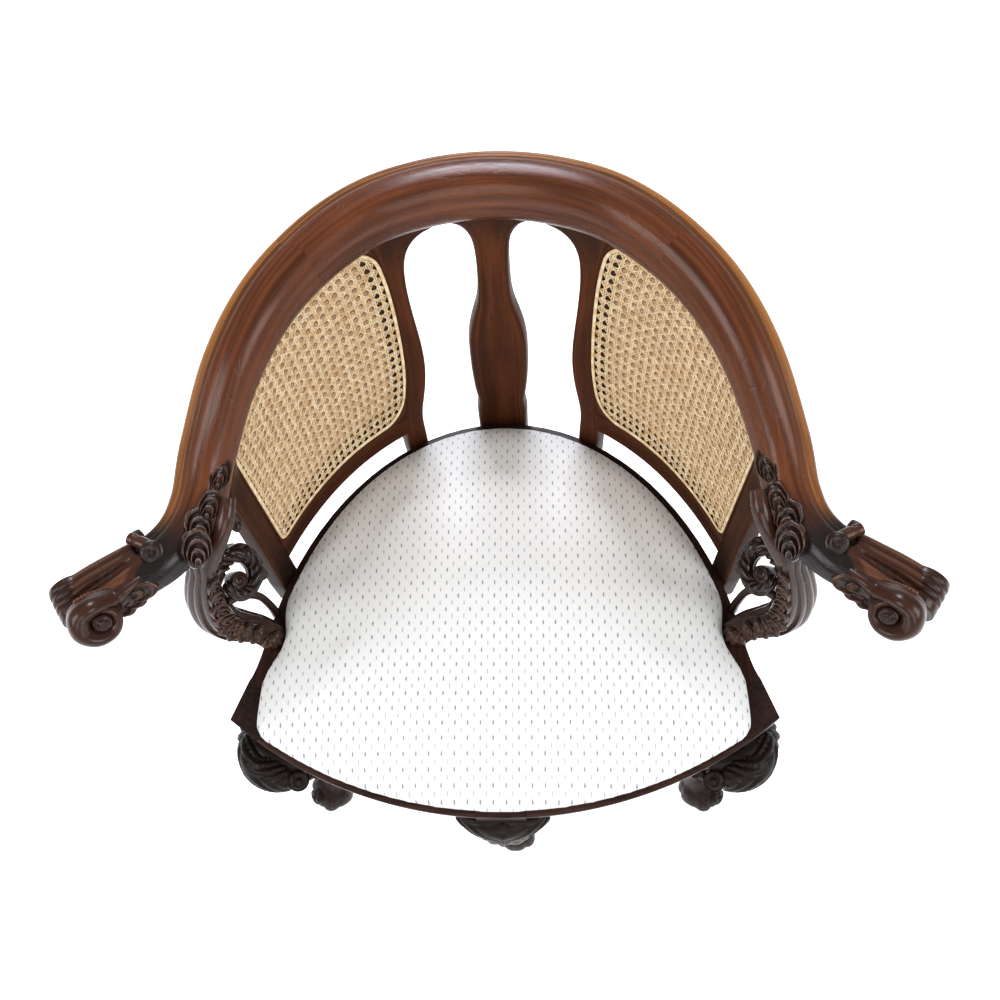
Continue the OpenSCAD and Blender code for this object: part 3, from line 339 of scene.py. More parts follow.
def volute(name, middle, axis, radius, width, turns=2.0, hand=1, reeds=(), eye=0.3, age_and_shade=1.0):
    """A turned scroll: two spiral faces and a reeded rim."""
    axis = axis.normalized()
    first = axis.orthogonal().normalized()
    second = axis.cross(first)
    count, rings, tones = 80, [], []
    rim = [-1 + 2 * i / 40 for i in range(41)] if reeds else [-1, -0.94, -0.5, 0, 0.5, 0.94, 1]

    def face(share, side):
        ring, tone = [], []
        for i in range(count):
            turn = 2 * math.pi * i / count
            wave = 0.5 + 0.5 * math.cos(2 * math.pi * turns * share - hand * side * turn)
            lift = radius * (0.13 * wave * ramp(eye, eye + 0.12, share) * (1 - share ** 6)
                             + 0.16 * (1 - share * share) + 0.2 * (1 - ramp(eye * 0.5, eye, share)))
            flat = middle + axis * side * (width / 2 * 0.94 + lift)
            out = first * math.cos(turn) + second * math.sin(turn)
            ring.append(flat + out * radius * share * 0.97)
            tone.append((0, age_and_shade, 0.6 * wave))
        rings.append(ring)
        tones.append(tone)

    for i in range(26):
        face(0.004 + 0.996 * i / 25, -1)
    for u in rim:
        dip = max([math.exp(-(((u - line) * width / 2) / 0.0012) ** 2) for line in reeds] or [0])
        reach = radius * (1 - 0.04 * u ** 4) - min(0.0022, radius * 0.14) * dip
        rings.append([middle + axis * u * width / 2
                      + (first * math.cos(t) + second * math.sin(t)) * reach
                      for t in (2 * math.pi * i / count for i in range(count))])
        tones.append([(0, age_and_shade, 0.45 - 0.45 * dip)] * count)
    for i in range(25, -1, -1):
        face(0.004 + 0.996 * i / 25, 1)
    return wrap(name, rings, tones, 50)


def join(name, pieces):
    bpy.ops.object.select_all(action="DESELECT")
    for piece in pieces:
        piece.select_set(True)
    bpy.context.view_layer.objects.active = pieces[0]
    if len(pieces) > 1:
        bpy.ops.object.join()
    pieces[0].name = pieces[0].data.name = name
    return pieces[0]


def bead_row(name, places, radius):
    """Small carved beads, one made at each place and joined."""
    beads = []
    for place in places:
        bpy.ops.object.select_all(action="DESELECT")
        bpy.ops.mesh.primitive_ico_sphere_add(subdivisions=2, radius=radius)
        bead = bpy.context.object
        tone = bead.data.attributes.new("tone", "FLOAT_VECTOR", "POINT")
        for v in bead.data.vertices:
            v.co += place
            tone.data[v.index].vector = (0, 1, 1)
        beads.append(bead)
    made = join(name, beads)
    bpy.ops.object.shade_smooth()
    return made


def on_rail(k, u, lift=0.0):
    """A place on top of the rail at a station and a share of its half width."""
    middle, width, depth = rail(k)
    crown = 1 - 0.12 * abs(u) ** 3
    return middle + rail_outward(k) * u * width / 2 - Vector((0, 0, depth * (1 - crown) - lift))


def shell(name, middle, facing, toward, length, width, ridges=3, rise=0.2, age_and_shade=0.75):
    """A carved scallop: crescents nested one inside the other, which run together at its low end."""
    facing = facing.normalized()
    toward = (toward - facing * toward.dot(facing)).normalized()
    side = facing.cross(toward)
    rings, tones = [], []
    for j in range(37):
        r = 0.02 + 0.98 * j / 36
        ring, tone = [], []
        for i in range(56):
            turn = 2 * math.pi * i / 56
            over = ramp(-1, -0.2, math.cos(turn))
            edge = 1 - 0.06 * (1 - abs(math.cos(turn * 3.5)) ** 0.6) * r * over
            a = math.cos(turn) * length / 2 * edge * r - length * 0.44 * (1 - r)
            b = math.sin(turn) * width / 2 * edge * r * (0.72 + 0.28 * over)
            beat = (ridges * r) % 1 if j < 36 else 0
            wave = ramp(0, 0.7, beat) * ramp(1, 0.88, beat) * over
            up = width * (rise * math.sqrt(max(0, 1 - r ** 3)) + 0.12 * wave * (0.5 + 0.5 * over))
            ring.append(middle + toward * a + side * b + facing * up)
            tone.append((0, age_and_shade, 0.7 * wave))
        rings.append(ring)
        tones.append(tone)
    rings.append([p.lerp(middle, 0.15) - facing * width * 0.3 for p in rings[-1]])
    tones.append([(0, 1, 0)] * 56)
    return wrap(name, rings, tones, 60)


def strokes(along, across, slope=1.5):
    """Height of carved leaf strokes that spring from a midrib; along counts them."""
    beat = (along + 0.22 * math.sin(along * 1.9) - slope * abs(across) ** 1.25) % 1
    rise = ramp(0, 0.5, beat) * ramp(1, 0.82, beat)
    return rise * (0.45 + 0.55 * ramp(0, 0.25, abs(across))) * (0.8 + 0.2 * math.sin(along * 2.7))


def band(name, places, halves, flat, reeds=3.0, age_and_shade=0.8, grooves=0.16, wide=1.1, leaves=None):
    """A reeded tube along a path. flat is the way across it, and leaves, where it bears any, give
    their count, where round the tube they lie, how far round they reach, their depth and slope."""
    rings, tones = [], []
    last = len(places) - 1
    for j, (place, half) in enumerate(zip(places, halves)):
        go = (places[min(last, j + 1)] - places[max(0, j - 1)]).normalized()
        out = go.cross(flat).normalized()
        across = out.cross(go).normalized()
        ring, tone = [], []
        for i in range(56):
            turn = 2 * math.pi * i / 56
            wave = abs(math.cos(turn * reeds)) ** 0.6
            # lighter ridge tone on the reed tops and leaf strokes: partly rubbed, partly painted
            # highlight
            reach, rubbed_and_highlit = half * (1 - grooves + grooves * wave), 0.35 * wave
            if leaves:
                count, lean, spread, deep, slope = leaves
                q = ((turn - lean + math.pi) % (2 * math.pi) - math.pi) / spread
                cover = ramp(1.08, 0.94, abs(q)) * ramp(0, 0.04, j / last) * ramp(1, 0.96, j / last)
                cut = strokes(count * j / last, q, slope)
                reach += (half + deep * (0.35 + cut) - reach) * cover
                rubbed_and_highlit += (0.55 * cut - rubbed_and_highlit) * cover
            ring.append(place + out * math.cos(turn) * reach + across * math.sin(turn) * reach * wide)
            tone.append((0, age_and_shade, rubbed_and_highlit))
        rings.append(ring)
        tones.append(tone)
    return wrap(name, rings, tones, 60)


def smooth_path(points, count):
    """Points spread evenly along a curve through the given ones, each point with a value behind it."""
    dense = []
    for i in range(len(points) - 1):
        near = [points[max(0, min(len(points) - 1, i + d))] for d in (-1, 0, 1, 2)]
        dense += [between(*near, j / 12) for j in range(12)]
    dense.append(tuple(points[-1]))
    gone = [0]
    for a, b in zip(dense, dense[1:]):
        gone.append(gone[-1] + math.dist(a[:3], b[:3]))
    places, values, i = [], [], 0
    for j in range(count + 1):
        want = gone[-1] * j / count
        while i < len(gone) - 2 and gone[i + 1] < want:
            i += 1
        part = (want - gone[i]) / max(1e-9, gone[i + 1] - gone[i])
        mid = [a + (b - a) * part for a, b in zip(dense[i], dense[i + 1])]
        places.append(Vector(mid[:3]))
        values.append(mid[3])
    return places, values


def finished(piece, kind, **settings):
    """Adds a modifier to the active piece and applies it."""
    modifier = piece.modifiers.new(kind.lower(), kind)
    for key, value in settings.items():
        setattr(modifier, key, value)
    bpy.ops.object.modifier_apply(modifier=modifier.name)


def leaf(name, spine, facing, width, lobes=5, arch=0.25, age_and_shade=0.9):
    """An acanthus leaf: a lobed and veined blade laid along a curved spine."""
    made, tone = grid(name, 26, 60)
    last = len(spine) - 1

    def at(list_of, share):
        place = min(max(share, 0), 1) * last
        i = min(int(place), last - 1)
        near = [list_of[max(0, min(last, i + d))] for d in (-1, 0, 1, 2)]
        return Vector(between(*near, place - i))

    for v in made.data.vertices:
        t, s = v.co.x, (v.co.y + 1) / 2
        go = (at(spine, s + 0.02) - at(spine, s - 0.02)).normalized()
        out = at(facing, s)
        out = (out - go * out.dot(go)).normalized()
        side = go.cross(out)
        swept = s - 0.1 * abs(t)
        notch = abs(math.sin(math.pi * lobes * max(0, swept)))
        blade = (math.sin(math.pi * min(1, 0.1 + 0.9 * s)) ** 0.7) * (1 - 0.35 * s)
        half = width / 2 * blade * (1 - 0.42 * (1 - notch ** 0.6) * abs(t) ** 2)
        vein = math.cos(2 * math.pi * lobes * (s - 0.22 * abs(t)))
        relief = width * (0.05 * vein * abs(t) ** 0.5 * (1 - 0.4 * abs(t))
                          + 0.06 * math.exp(-(t / 0.14) ** 2) + arch * (0.5 - t * t) * blade)
        midrib = 0.4 * math.exp(-(t / 0.1) ** 2)
        v.co = at(spine, s) + side * half * t + out * relief
        tone.data[v.index].vector = (0, age_and_shade, 0.45 + 0.4 * vein * abs(t) + midrib)
    finished(made, "SOLIDIFY", thickness=0.0016, offset=-1)
    bpy.ops.object.shade_smooth_by_angle(angle=math.radians(50))
    return made


def spiral(middle, first, second, turns):
    """Places for a band that winds in, from the degrees turned, the reach and the half width."""
    made = []
    for degrees, reach, half in turns:
        turn = math.radians(degrees)
        made.append((*(middle + (first * math.cos(turn) + second * math.sin(turn)) * reach), half))
    return made


def copy_of(source, name):
    """A copy of a piece with a mesh of its own, active and selected alone."""
    bpy.ops.object.select_all(action="DESELECT")
    source.select_set(True)
    bpy.context.view_layer.objects.active = source
    bpy.ops.object.duplicate()
    made = bpy.context.object
    made.name = made.data.name = name
    return made


def other_side(piece):
    """A copy of a right hand piece, turned over for the left hand."""
    made = copy_of(piece, piece.name.replace("_right", "_left"))
    for v in made.data.vertices:
        v.co.x = -v.co.x
    bpy.ops.object.mode_set(mode="EDIT")
    bpy.ops.mesh.select_all(action="SELECT")
    bpy.ops.mesh.flip_normals()
    bpy.ops.object.mode_set(mode="OBJECT")
    return made


def settle_both(piece, finish, slot, *nodes):
    """Settles a right hand piece together with its copy for the left hand."""
    settle(other_side(piece), finish, slot, *(node.replace("_right", "_left") for node in nodes))
    settle(piece, finish, slot, *nodes)


tip = rail(rail_end)[0]
tip_go, tip_across = rail_heading(rail_end), rail_outward(rail_end)
inward = -tip_across
roll = volute("arm_roll", tip + tip_go * 0.0035 + tip_across * 0.0078 - Vector((0, 0, 0.0175)),
              tip_across, 0.0183, 0.031, 2.1, -1, (0.51, 0.0, -0.41), age_and_shade=0.65)
scroll_axis = (inward * 0.84 + Vector((0, 0, 0.54))).normalized()
scroll_up = (Vector((0, 0, 0.84)) - inward * 0.54).normalized()
scroll_middle = tip - tip_go * 0.011 + inward * 0.029 - Vector((0, 0, 0.001))
lead = [(*on_rail(k, u, lift), half) for k, u, lift, half in
        ((9.6, -0.46, -0.004, 0.002), (9.9, -0.54, -0.004, 0.0045), (10.3, -0.58, -0.0035, 0.0066),
         (10.7, -0.6, -0.003, 0.0078))]
lead += spiral(scroll_middle, scroll_up, tip_go,
               ((5, 0.0158, 0.0086), (45, 0.0178, 0.0094), (90, 0.0178, 0.009),
                (135, 0.016, 0.008), (180, 0.0138, 0.0064), (225, 0.0119, 0.0053),
                (270, 0.0108, 0.0047), (315, 0.0096, 0.0041), (360, 0.0084, 0.0036),
                (405, 0.0072, 0.003), (450, 0.0056, 0.0025)))
scroll_path, scroll_half = smooth_path(lead, 150)
curl = band("arm_scroll", scroll_path, scroll_half, scroll_axis, 1.5, 0.62, 0.1, 1.45)
scroll_eye = volute("arm_scroll_eye", scroll_middle + scroll_axis * 0.0015, scroll_axis, 0.0078,
                    0.012, 1.0, eye=0.6, age_and_shade=0.75)
# the disc behind the spiral is near black: painted shade in the gaps between the coils and round the eye
scroll_back = volute("arm_scroll_back", scroll_middle - scroll_axis * 0.006, scroll_axis, 0.017,
                     0.006, 1.0, eye=0.3, age_and_shade=1.0)
curls = [volute("arm_curl_roll", on_rail(9.06, 0.4, 0.0014),
                rail_outward(9.1) * 0.9 + rail_heading(9.1) * 0.36, 0.0056, 0.028, 1.6, 1,
                (0.5, -0.5), eye=0.35, age_and_shade=0.45),
         volute("arm_curl", on_rail(9.04, -0.06, 0.001),
                Vector((0, 0, 0.8)) - rail_outward(9.2) * 0.6 + rail_heading(9.2) * 0.1,
                0.0096, 0.0075, 1.3, -1, eye=0.3, age_and_shade=0.85),
         volute("arm_curl", on_rail(9.08, 1.0, -0.001), rail_outward(9.1) + Vector((0, 0, 0.3)),
                0.0062, 0.006, 1.4, 1, eye=0.4, age_and_shade=0.6)]
bead_way = scroll_up * 0.97 - scroll_axis * 0.5
beads = bead_row("arm_beads", [scroll_path[i] + bead_way * scroll_half[i]
                               for i in range(14, 62, 3)], 0.0016)
laps = [shell("arm_lap", on_rail(k, -0.9, -down), inward * 0.8 + Vector((0, 0, 0.75)),
              -rail_heading(k) + inward * turn, long, wide, 2, 0.14)
        for k, down, turn, long, wide in (
            (9.85, 0.008, 0.25, 0.026, 0.017), (10.2, 0.012, 0.6, 0.022, 0.017),
            (10.6, 0.016, 0.8, 0.02, 0.016))]
under = leaf("arm_under_leaf", [on_rail(k, 0) - Vector((0, 0, drop)) for k, drop in
                                ((8.3, 0.0352), (9.2, 0.0305), (10.1, 0.0268), (11.0, 0.024),
                                 (11.7, 0.0225))],
             [Vector((0, 0, -1))] * 5, 0.042, 5, 0.12)
arm = join("arm_rail_right_moulded",
           [arm, roll, curl, scroll_eye, scroll_back, *curls, beads, *laps, under])
settle_both(arm, rail_finish, "mahogany", "arm_rail_right")

# UPRIGHTS AND PANEL FRAMES
# A middle splat, two uprights and a bottom rail to each caned panel, and an outer upright by
# the arm support. All are sawn to the curve of the back, lean outward to the rail, and lap
# the seat rails' outer faces with their feet. Their edges are rounded and rubbed.
seat_top = 0.45
foot_drop = 0.044
wall_x, wall_back, wall_t = 0.2718, 0.3588, 0.022
rail_gap, degrees_a_station = 0.0002, 10


def wall(k, share, out):
    """A place on the curved back, from the seat rail at 0 to the rail above at 1."""
    side = -1 if k < 0 else 1
    top, _, depth = rail(abs(k))
    arm_out = rail_outward(abs(k))
    turn = math.radians(degrees_a_station * k)
    foot = Vector((wall_x * math.sin(turn), wall_back * math.cos(turn)))
    lean = max(0.0, share)
    normal = Vector((foot.x / wall_x ** 2, foot.y / wall_back ** 2)).normalized()
    outward = (normal * (1 - lean) + Vector((side * arm_out.x, arm_out.y)) * lean).normalized()
    plan = foot * (1 - lean) + Vector((side * top.x, top.y + origin_y)) * lean + outward * out
    height = top.z - depth - seat_top - rail_gap
    z = seat_top + (share * foot_drop if share < 0 else share * height)
    return Vector((plan.x, plan.y - origin_y, z))


def station(x, share):
    return x / wall(1, share, 0).x


def height_share(k, up):
    top, _, depth = rail(abs(k))
    return up / (top.z - depth - seat_top)


def eased(table, share):
    """Value in a table of heights and values, with smooth turns between its rows."""
    last = len(table) - 1
    i = 0
    while i < last - 1 and share > table[i + 1][0]:
        i += 1
    (s0, v0), (s1, v1) = table[i], table[i + 1]
    before, after = table[max(0, i - 1)], table[min(last, i + 2)]
    m0 = (v1 - before[1]) / (s1 - before[0])
    m1 = (after[1] - v0) / (after[0] - s0)
    k, h = max(0, min(1, (share - s0) / (s1 - s0))), s1 - s0
    return (v0 * (1 + 2 * k) * (1 - k) ** 2 + m0 * h * k * (1 - k) ** 2
            + v1 * k * k * (3 - 2 * k) + m1 * h * k * k * (k - 1))


def squared(wave, power):
    """A sine or cosine pushed outward, which turns a circle into a square with round corners."""
    return math.copysign(abs(wave) ** power, wave)


def post(name, inner, outer, shares, age_and_shade=None):
    """A post between two edges given as stations at each height, with rounded corners."""
    rings, tones = [], []
    for share in shares:
        k0, k1 = inner(share), outer(share)
        middle, reach = (k0 + k1) / 2, (k1 - k0) / 2
        ring, tone = [], []
        for i in range(40):
            turn = 2 * math.pi * i / 40
            a, b = squared(math.cos(turn), 0.32), squared(math.sin(turn), 0.42)
            cove = 0.011 * ramp(0.8, 1.06, share) ** 1.5 if b < 0 else 0
            ring.append(wall(middle + reach * a, share, (wall_t / 2 + cove) * b))
            dark = 0.12 + 0.5 * ramp(0.14, -0.1, share) + 0.35 * ramp(0.85, 1, share)
            tone.append((0, age_and_shade(share) if age_and_shade else dark,
                         0.55 if 0.72 < abs(a) < 0.985 and abs(b) > 0.6 and share > 0 else 0.1))
        rings.append(ring)
        tones.append(tone)
    return wrap(name, rings, tones, 40)


post_shares = [-1, -0.985, -0.5, 0] + [i / 60 for i in range(1, 54)] + [0.9 + i / 150 for i in range(16)]
splat_half = [(-1, 0.0286), (0, 0.0286), (0.07, 0.0286), (0.1, 0.0272), (0.13, 0.0268), (0.17, 0.0285),
              (0.22, 0.03), (0.3, 0.0312), (0.42, 0.0311), (0.48, 0.0292), (0.52, 0.0268),
              (0.57, 0.0228), (0.61, 0.0194), (0.66, 0.0172), (0.72, 0.0164), (0.8, 0.0164),
              (0.86, 0.0176), (0.9, 0.0199), (0.925, 0.0228), (0.945, 0.0262), (0.965, 0.0312),
              (0.98, 0.0372), (0.989, 0.0435), (1, 0.046)]
upright_finish = polished("upright mahogany", (0.25, 0.1, 0.04), (0.108, 0.032, 0.0105),
                          (0.04, 0.012, 0.0055), (0.012, 0.0075, 0.006), (0.19, 0.078, 0.034),
                          gloss=0.44, coat=0.03)


def splat_edge(share):
    return station(eased(splat_half, share), share)


splat = post("splat", lambda s: -splat_edge(s), splat_edge, post_shares)
settle(splat, upright_finish, "mahogany", "back_splat")

inner_edge = [(-1, 0.0935), (0, 0.0935), (0.12, 0.0944), (0.18, 0.0926), (0.23, 0.0892), (0.3, 0.085),
              (0.385, 0.0822), (0.47, 0.0822), (0.55, 0.0838), (0.64, 0.0861), (0.75, 0.0879),
              (0.82, 0.0874), (0.87, 0.0852), (0.91, 0.081), (0.94, 0.0752), (0.96, 0.069),
              (0.975, 0.0618), (0.984, 0.0548), (0.99, 0.049), (1, 0.0465)]
outer_edge = [(-1, 0.118), (0, 0.118), (0.12, 0.1165), (0.2, 0.1136), (0.28, 0.1109), (0.38, 0.1062),
              (0.48, 0.1041), (0.62, 0.1038), (0.76, 0.1056), (0.87, 0.1097), (0.94, 0.115), (1, 0.122)]
side_foot, side_head, side_half = 6.35, 6.1, 0.25


def upright_outer(share):
    return station(eased(outer_edge, share), share)


def side_inner(share):
    up = max(0, share)
    return side_foot * (1 - up) + side_head * up - side_half


upright = post("inner_upright_right", lambda s: station(eased(inner_edge, s), s), upright_outer,
               post_shares)
settle_both(upright, upright_finish, "mahogany", "panel_stile_right")
side_post = post("outer_upright_right", side_inner, lambda s: side_inner(s) + 2 * side_half,
                 post_shares, age_and_shade=lambda s: 0.35 + 0.4 * ramp(0.5, 0, s))
settle_both(side_post, upright_finish, "mahogany", "panel_side_stile_right")

rail_low, rail_high = 0.022, 0.05
inner_foot = 2.15


def along_panel(share, up):
    """A station between the two uprights of a panel, at a height above the seat rail."""
    k0 = upright_outer(height_share(inner_foot, up))
    k1 = side_inner(height_share(side_foot, up))
    return k0 + (k1 - k0) * share


low_rings, low_tones = [], []
for j in range(57):
    across = -0.01 + 1.02 * j / 56
    ring, tone = [], []
    for i in range(36):
        turn = 2 * math.pi * i / 36
        a, b = squared(math.cos(turn), 0.4), squared(math.sin(turn), 0.4)
        up = (rail_low + rail_high) / 2 + a * (rail_high - rail_low) / 2
        k = along_panel(across, up)
        ring.append(wall(k, height_share(k, up), b * wall_t / 2))
        tone.append((0, 0.3, 0.6 if 0.7 < abs(a) < 0.98 and b < -0.7 else 0.1))
    low_rings.append(ring)
    low_tones.append(tone)
low_rail = wrap("panel_bottom_rail_right_curved", low_rings, low_tones, 40)
settle_both(low_rail, upright_finish, "mahogany", "panel_bottom_rail_right")

# CANED PANELS
# Each panel is hand caned in six ways, with eight-sided holes: pairs of strands run up and across,
# single ones on both slants. A close second weave behind them is the tan ground. A binding cane
# covers the edge, and the wood of the frame rounds the opening's corners.
cane_w, cane_h = 0.232, 0.222
cane_diagonal = 0.34
cane_pitch = 0.0101
pair_gap, cane_wave = 0.0011, 0.0003
cane_low, cane_high = 0.0503, 0.985
cane_face = -0.0085
corner_radii = (0.036, 0.013, 0.018, 0.024)


def cane(a, b, out):
    """A place on the panel from metres across it and up it, counted from its lower inner corner."""
    u, v = a / cane_w, b / cane_h
    middle = along_panel(u, cane_low)
    share = height_share(middle, cane_low) * (1 - v) + cane_high * v
    k0 = upright_outer(share) + 0.004
    k1 = side_inner(share) - 0.004
    return wall(k0 + (k1 - k0) * u, share, out)


def inside(a, b, edge=0.0015):
    """Whether a place lies within the opening, whose four corners are rounded."""
    right, top = cane_w - a, cane_h - b
    for radius, x, y in zip(corner_radii, (a, right, right, a), (b, b, top, top)):
        if x < edge or y < edge:
            return False
        dx, dy = radius - x, radius - y
        if dx > 0 and dy > 0 and dx * dx + dy * dy > (radius - edge) ** 2:
            return False
    return True


def strand(start, step, wide, level, turns):
    """One flat strand across the panel, which rises and falls through the weave."""
    places = []
    pace = cane_pitch / 3
    for i in range(int(cane_diagonal / pace) + 1):
        a, b = start[0] + step[0] * pace * i, start[1] + step[1] * pace * i
        if inside(a, b):
            places.append((a, b, level + math.sin(math.pi * i / 3 + math.pi * turns) * cane_wave))
    if len(places) < 4:
        return None
    bpy.ops.mesh.primitive_grid_add(x_subdivisions=2, y_subdivisions=len(places) - 1, size=2)
    made = bpy.context.object
    side = (-step[1], step[0])
    for v in made.data.vertices:
        a, b, out = places[round((v.co.y + 1) / 2 * (len(places) - 1))]
        shift = v.co.x * wide / 2
        v.co = cane(a + side[0] * shift, b + side[1] * shift, out - 0.0003 * (1 - abs(v.co.x)))
    return made


strands = []
bpy.ops.object.select_all(action="DESELECT")
rows, columns = round(cane_h / cane_pitch), round(cane_w / cane_pitch)
for i in range(columns + 1):
    for j, shift in enumerate((-pair_gap, pair_gap)):
        strands.append(strand((i * cane_pitch + shift, 0), (0, 1), 0.0016, cane_face, i + j))
for i in range(rows + 1):
    for j, shift in enumerate((-pair_gap, pair_gap)):
        strands.append(strand((0, i * cane_pitch + shift), (1, 0), 0.0012, cane_face + 0.0005,
                              i + j + 1))
slope = 1 / math.sqrt(2)
for i in range(-rows, columns + 1):
    start = (i + 0.5) * cane_pitch
    strands.append(strand((start, 0), (slope, slope), 0.0011, cane_face - 0.0003, i))
    strands.append(strand((start, cane_h), (slope, -slope), 0.0011, cane_face - 0.0005, i))
weave = join("caning_right", [piece for piece in strands if piece])
finished(weave, "SOLIDIFY", thickness=0.0005, offset=0)
bpy.ops.object.shade_smooth()


def edge_path(inset, count):
    """The opening's round cornered outline, drawn in by a distance."""
    r = [max(0.001, radius - inset) for radius in corner_radii]
    w, h = cane_w - 2 * inset, cane_h - 2 * inset
    sides = ((w - r[0] - r[1], inset + r[0], inset, 1, 0, r[1], cane_w - inset - r[1], inset + r[1]),
             (h - r[1] - r[2], cane_w - inset, inset + r[1], 0, 1, r[2], cane_w - inset - r[2],
              cane_h - inset - r[2]),
             (w - r[2] - r[3], cane_w - inset - r[2], cane_h - inset, -1, 0, r[3], inset + r[3],
              cane_h - inset - r[3]),
             (h - r[3] - r[0], inset, cane_h - inset - r[3], 0, -1, r[0], inset + r[0], inset + r[0]))
    whole = sum(side[0] + side[5] * math.pi / 2 for side in sides)
    made = []
    for j in range(count):
        d = whole * j / count
        for corner, (length, x, y, dx, dy, radius, cx, cy) in enumerate(sides):
            if d <= length:
                made.append((x + dx * d, y + dy * d))
                break
            d -= length
            if d <= radius * math.pi / 2:
                turn = (corner - 1) * math.pi / 2 + d / radius
                made.append((cx + radius * math.cos(turn), cy + radius * math.sin(turn)))
                break
            d -= radius * math.pi / 2
    return made


def ring_band(name, path, section):
    """A band that runs round the opening; its section gives steps across the edge and levels."""
    rings, count = [], len(path)
    for j in range(count + 1):
        a, b = path[j % count]
        before, after = path[(j - 1) % count], path[(j + 1) % count]
        go = Vector((after[0] - before[0], after[1] - before[1])).normalized()
        rings.append([cane(a - go.y * x, b + go.x * x, out) for x, out in section])
    return wrap(name, rings, None, 60)


flat_oval = [(squared(math.cos(t), 0.6) * 0.0021, cane_face - 0.0018 + 0.0009 * math.sin(t))
             for t in (2 * math.pi * i / 14 for i in range(14))]
binder = ring_band("binding_cane_right", edge_path(0.0026, 190), flat_oval)

# the wood that rounds the corners, flush with the uprights
corner_back, corner_front, corner_lap = 0.0105, -0.0108, 0.0022
corner_rings = []
corner_middle = Vector((cane_w / 2, cane_h / 2))
inner_path = edge_path(-0.0002, 240)
for near in inner_path + inner_path[:1]:
    near = Vector(near)
    reach = near - corner_middle
    far = corner_middle + reach * min((corner_middle.x + corner_lap) / max(1e-6, abs(reach.x)),
                                      (corner_middle.y + corner_lap) / max(1e-6, abs(reach.y)))
    lip = (far - near).normalized() * 0.0012
    corner_rings.append([cane(*place, out) for place, out in
                         ((near, corner_back), (near, -0.0096), (near + lip * 0.35, -0.0104),
                          (near + lip, corner_front), (far, corner_front), (far, corner_back))])
corner_tones = [[(0, 0.3, 0.1), (0, 0.3, 0.6), (0, 0.25, 0.5), (0, 0.2, 0.15), (0, 0.2, 0.1),
                 (0, 0.3, 0.1)]] * len(corner_rings)
corners = wrap("panel_corners_right", corner_rings, corner_tones, 40)
settle_both(corners, upright_finish, "mahogany")

ground, tone = grid("close_weave_right", 64, 60)
for v in ground.data.vertices:
    a = (v.co.x + 1) / 2 * cane_w
    b = (v.co.y + 1) / 2 * cane_h
    # painted shade: the ground darkens to near black along the opening's edges, where the frame and
    # binding shade it
    border_shade = max(ramp(0.0235, 0.0195, a), ramp(0.0255, 0.021, b), ramp(0.052, 0.046, a + b),
                 0.8 * ramp(cane_h - 0.013, cane_h - 0.01, b),
                 0.6 * ramp(cane_w - 0.011, cane_w - 0.009, a))
    v.co = cane(a, b, cane_face + 0.0019)
    tone.data[v.index].vector = (0, border_shade, 0)
for spot in ground.data.uv_layers.active.data:
    spot.uv = (spot.uv[0] * cane_w, spot.uv[1] * cane_h)
finished(ground, "SOLIDIFY", thickness=0.0012, offset=0)
bpy.ops.object.shade_smooth_by_angle(angle=math.radians(40))

cane_finish = Finish("split cane", (0.56, 0.37, 0.19), 0.42)
place = cane_finish.node("TexCoord", output=3)
shades = cane_finish.noise(place, (150, 150, 150), 3)
fibre = cane_finish.noise(place, (420, 420, 420), 2)
straw = cane_finish.mix(shades.part(0.35, 0.65), (0.76, 0.52, 0.27), (0.97, 0.79, 0.52))
cane_finish.set("Base Color", cane_finish.mix(fibre.part(0.6, 0.85) * 0.4, straw, (0.42, 0.24, 0.11)))
cane_finish.set("Roughness", shades * 0.25 + 0.3)
cane_finish.bump(fibre, 0.0003, 0.5)

weave_finish = Finish("close cane weave", (0.5, 0.33, 0.17), 0.6)
across, up, _ = weave_finish.parts(weave_finish.node("UVMap"))
wander = weave_finish.noise(weave_finish.node("UVMap"), (60, 60, 1), 3)
strand_pitch = 0.0029
warp = (across + wander * 0.0012) / strand_pitch
weft = (up + wander * 0.0012) / strand_pitch
over = (warp.math("FLOOR") + weft.math("FLOOR")).math("MODULO", 2.0)
warp_round = (warp.math("FRACT") * math.pi).math("SINE")
weft_round = (weft.math("FRACT") * math.pi).math("SINE")
height = over * warp_round + (1 - over) * weft_round
mixture = weave_finish.noise(weave_finish.node("UVMap"), (190, 190, 1), 3)
tan = weave_finish.mix(mixture.part(0.35, 0.65), (0.66, 0.42, 0.25), (0.86, 0.6, 0.38))
# painted shade in the low places between the woven strands
tan = weave_finish.mix((1 - height.part(0.05, 0.6)) * 0.45, tan, (0.2, 0.11, 0.055))
# painted shadow of the strands: a dark dash in each opening between the vertical pairs
beside = ((across / cane_pitch).math("FRACT") - 0.5).math("ABSOLUTE")
under = ((up / cane_pitch).math("FRACT") - 0.42).math("ABSOLUTE")
dash = (1 - beside.part(0.24, 0.34)) * (1 - under.part(0.05, 0.1)) * mixture.part(0.25, 0.38)
tan = weave_finish.mix(dash * 0.9, tan, (0.06, 0.028, 0.012))
# the tone's second part here is the ground's painted border shade, mixed to near black below
weave_shade = weave_finish.node("Attribute", {"attribute_name": "tone"}, output=1)
age_and_shade = weave_finish.parts(weave_shade)[1]
weave_finish.set("Base Color", weave_finish.mix(age_and_shade, tan, (0.022, 0.011, 0.007)))
weave_finish.set("Roughness", height * -0.15 + 0.65)
weave_finish.bump(height * (1 - age_and_shade), 0.0007, 0.8)

settle_both(weave, cane_finish.material, "cane", "cane_sheet_right")
settle_both(ground, weave_finish.material, "cane")
settle_both(binder, cane_finish.material, "cane_binder", "cane_binder_right")

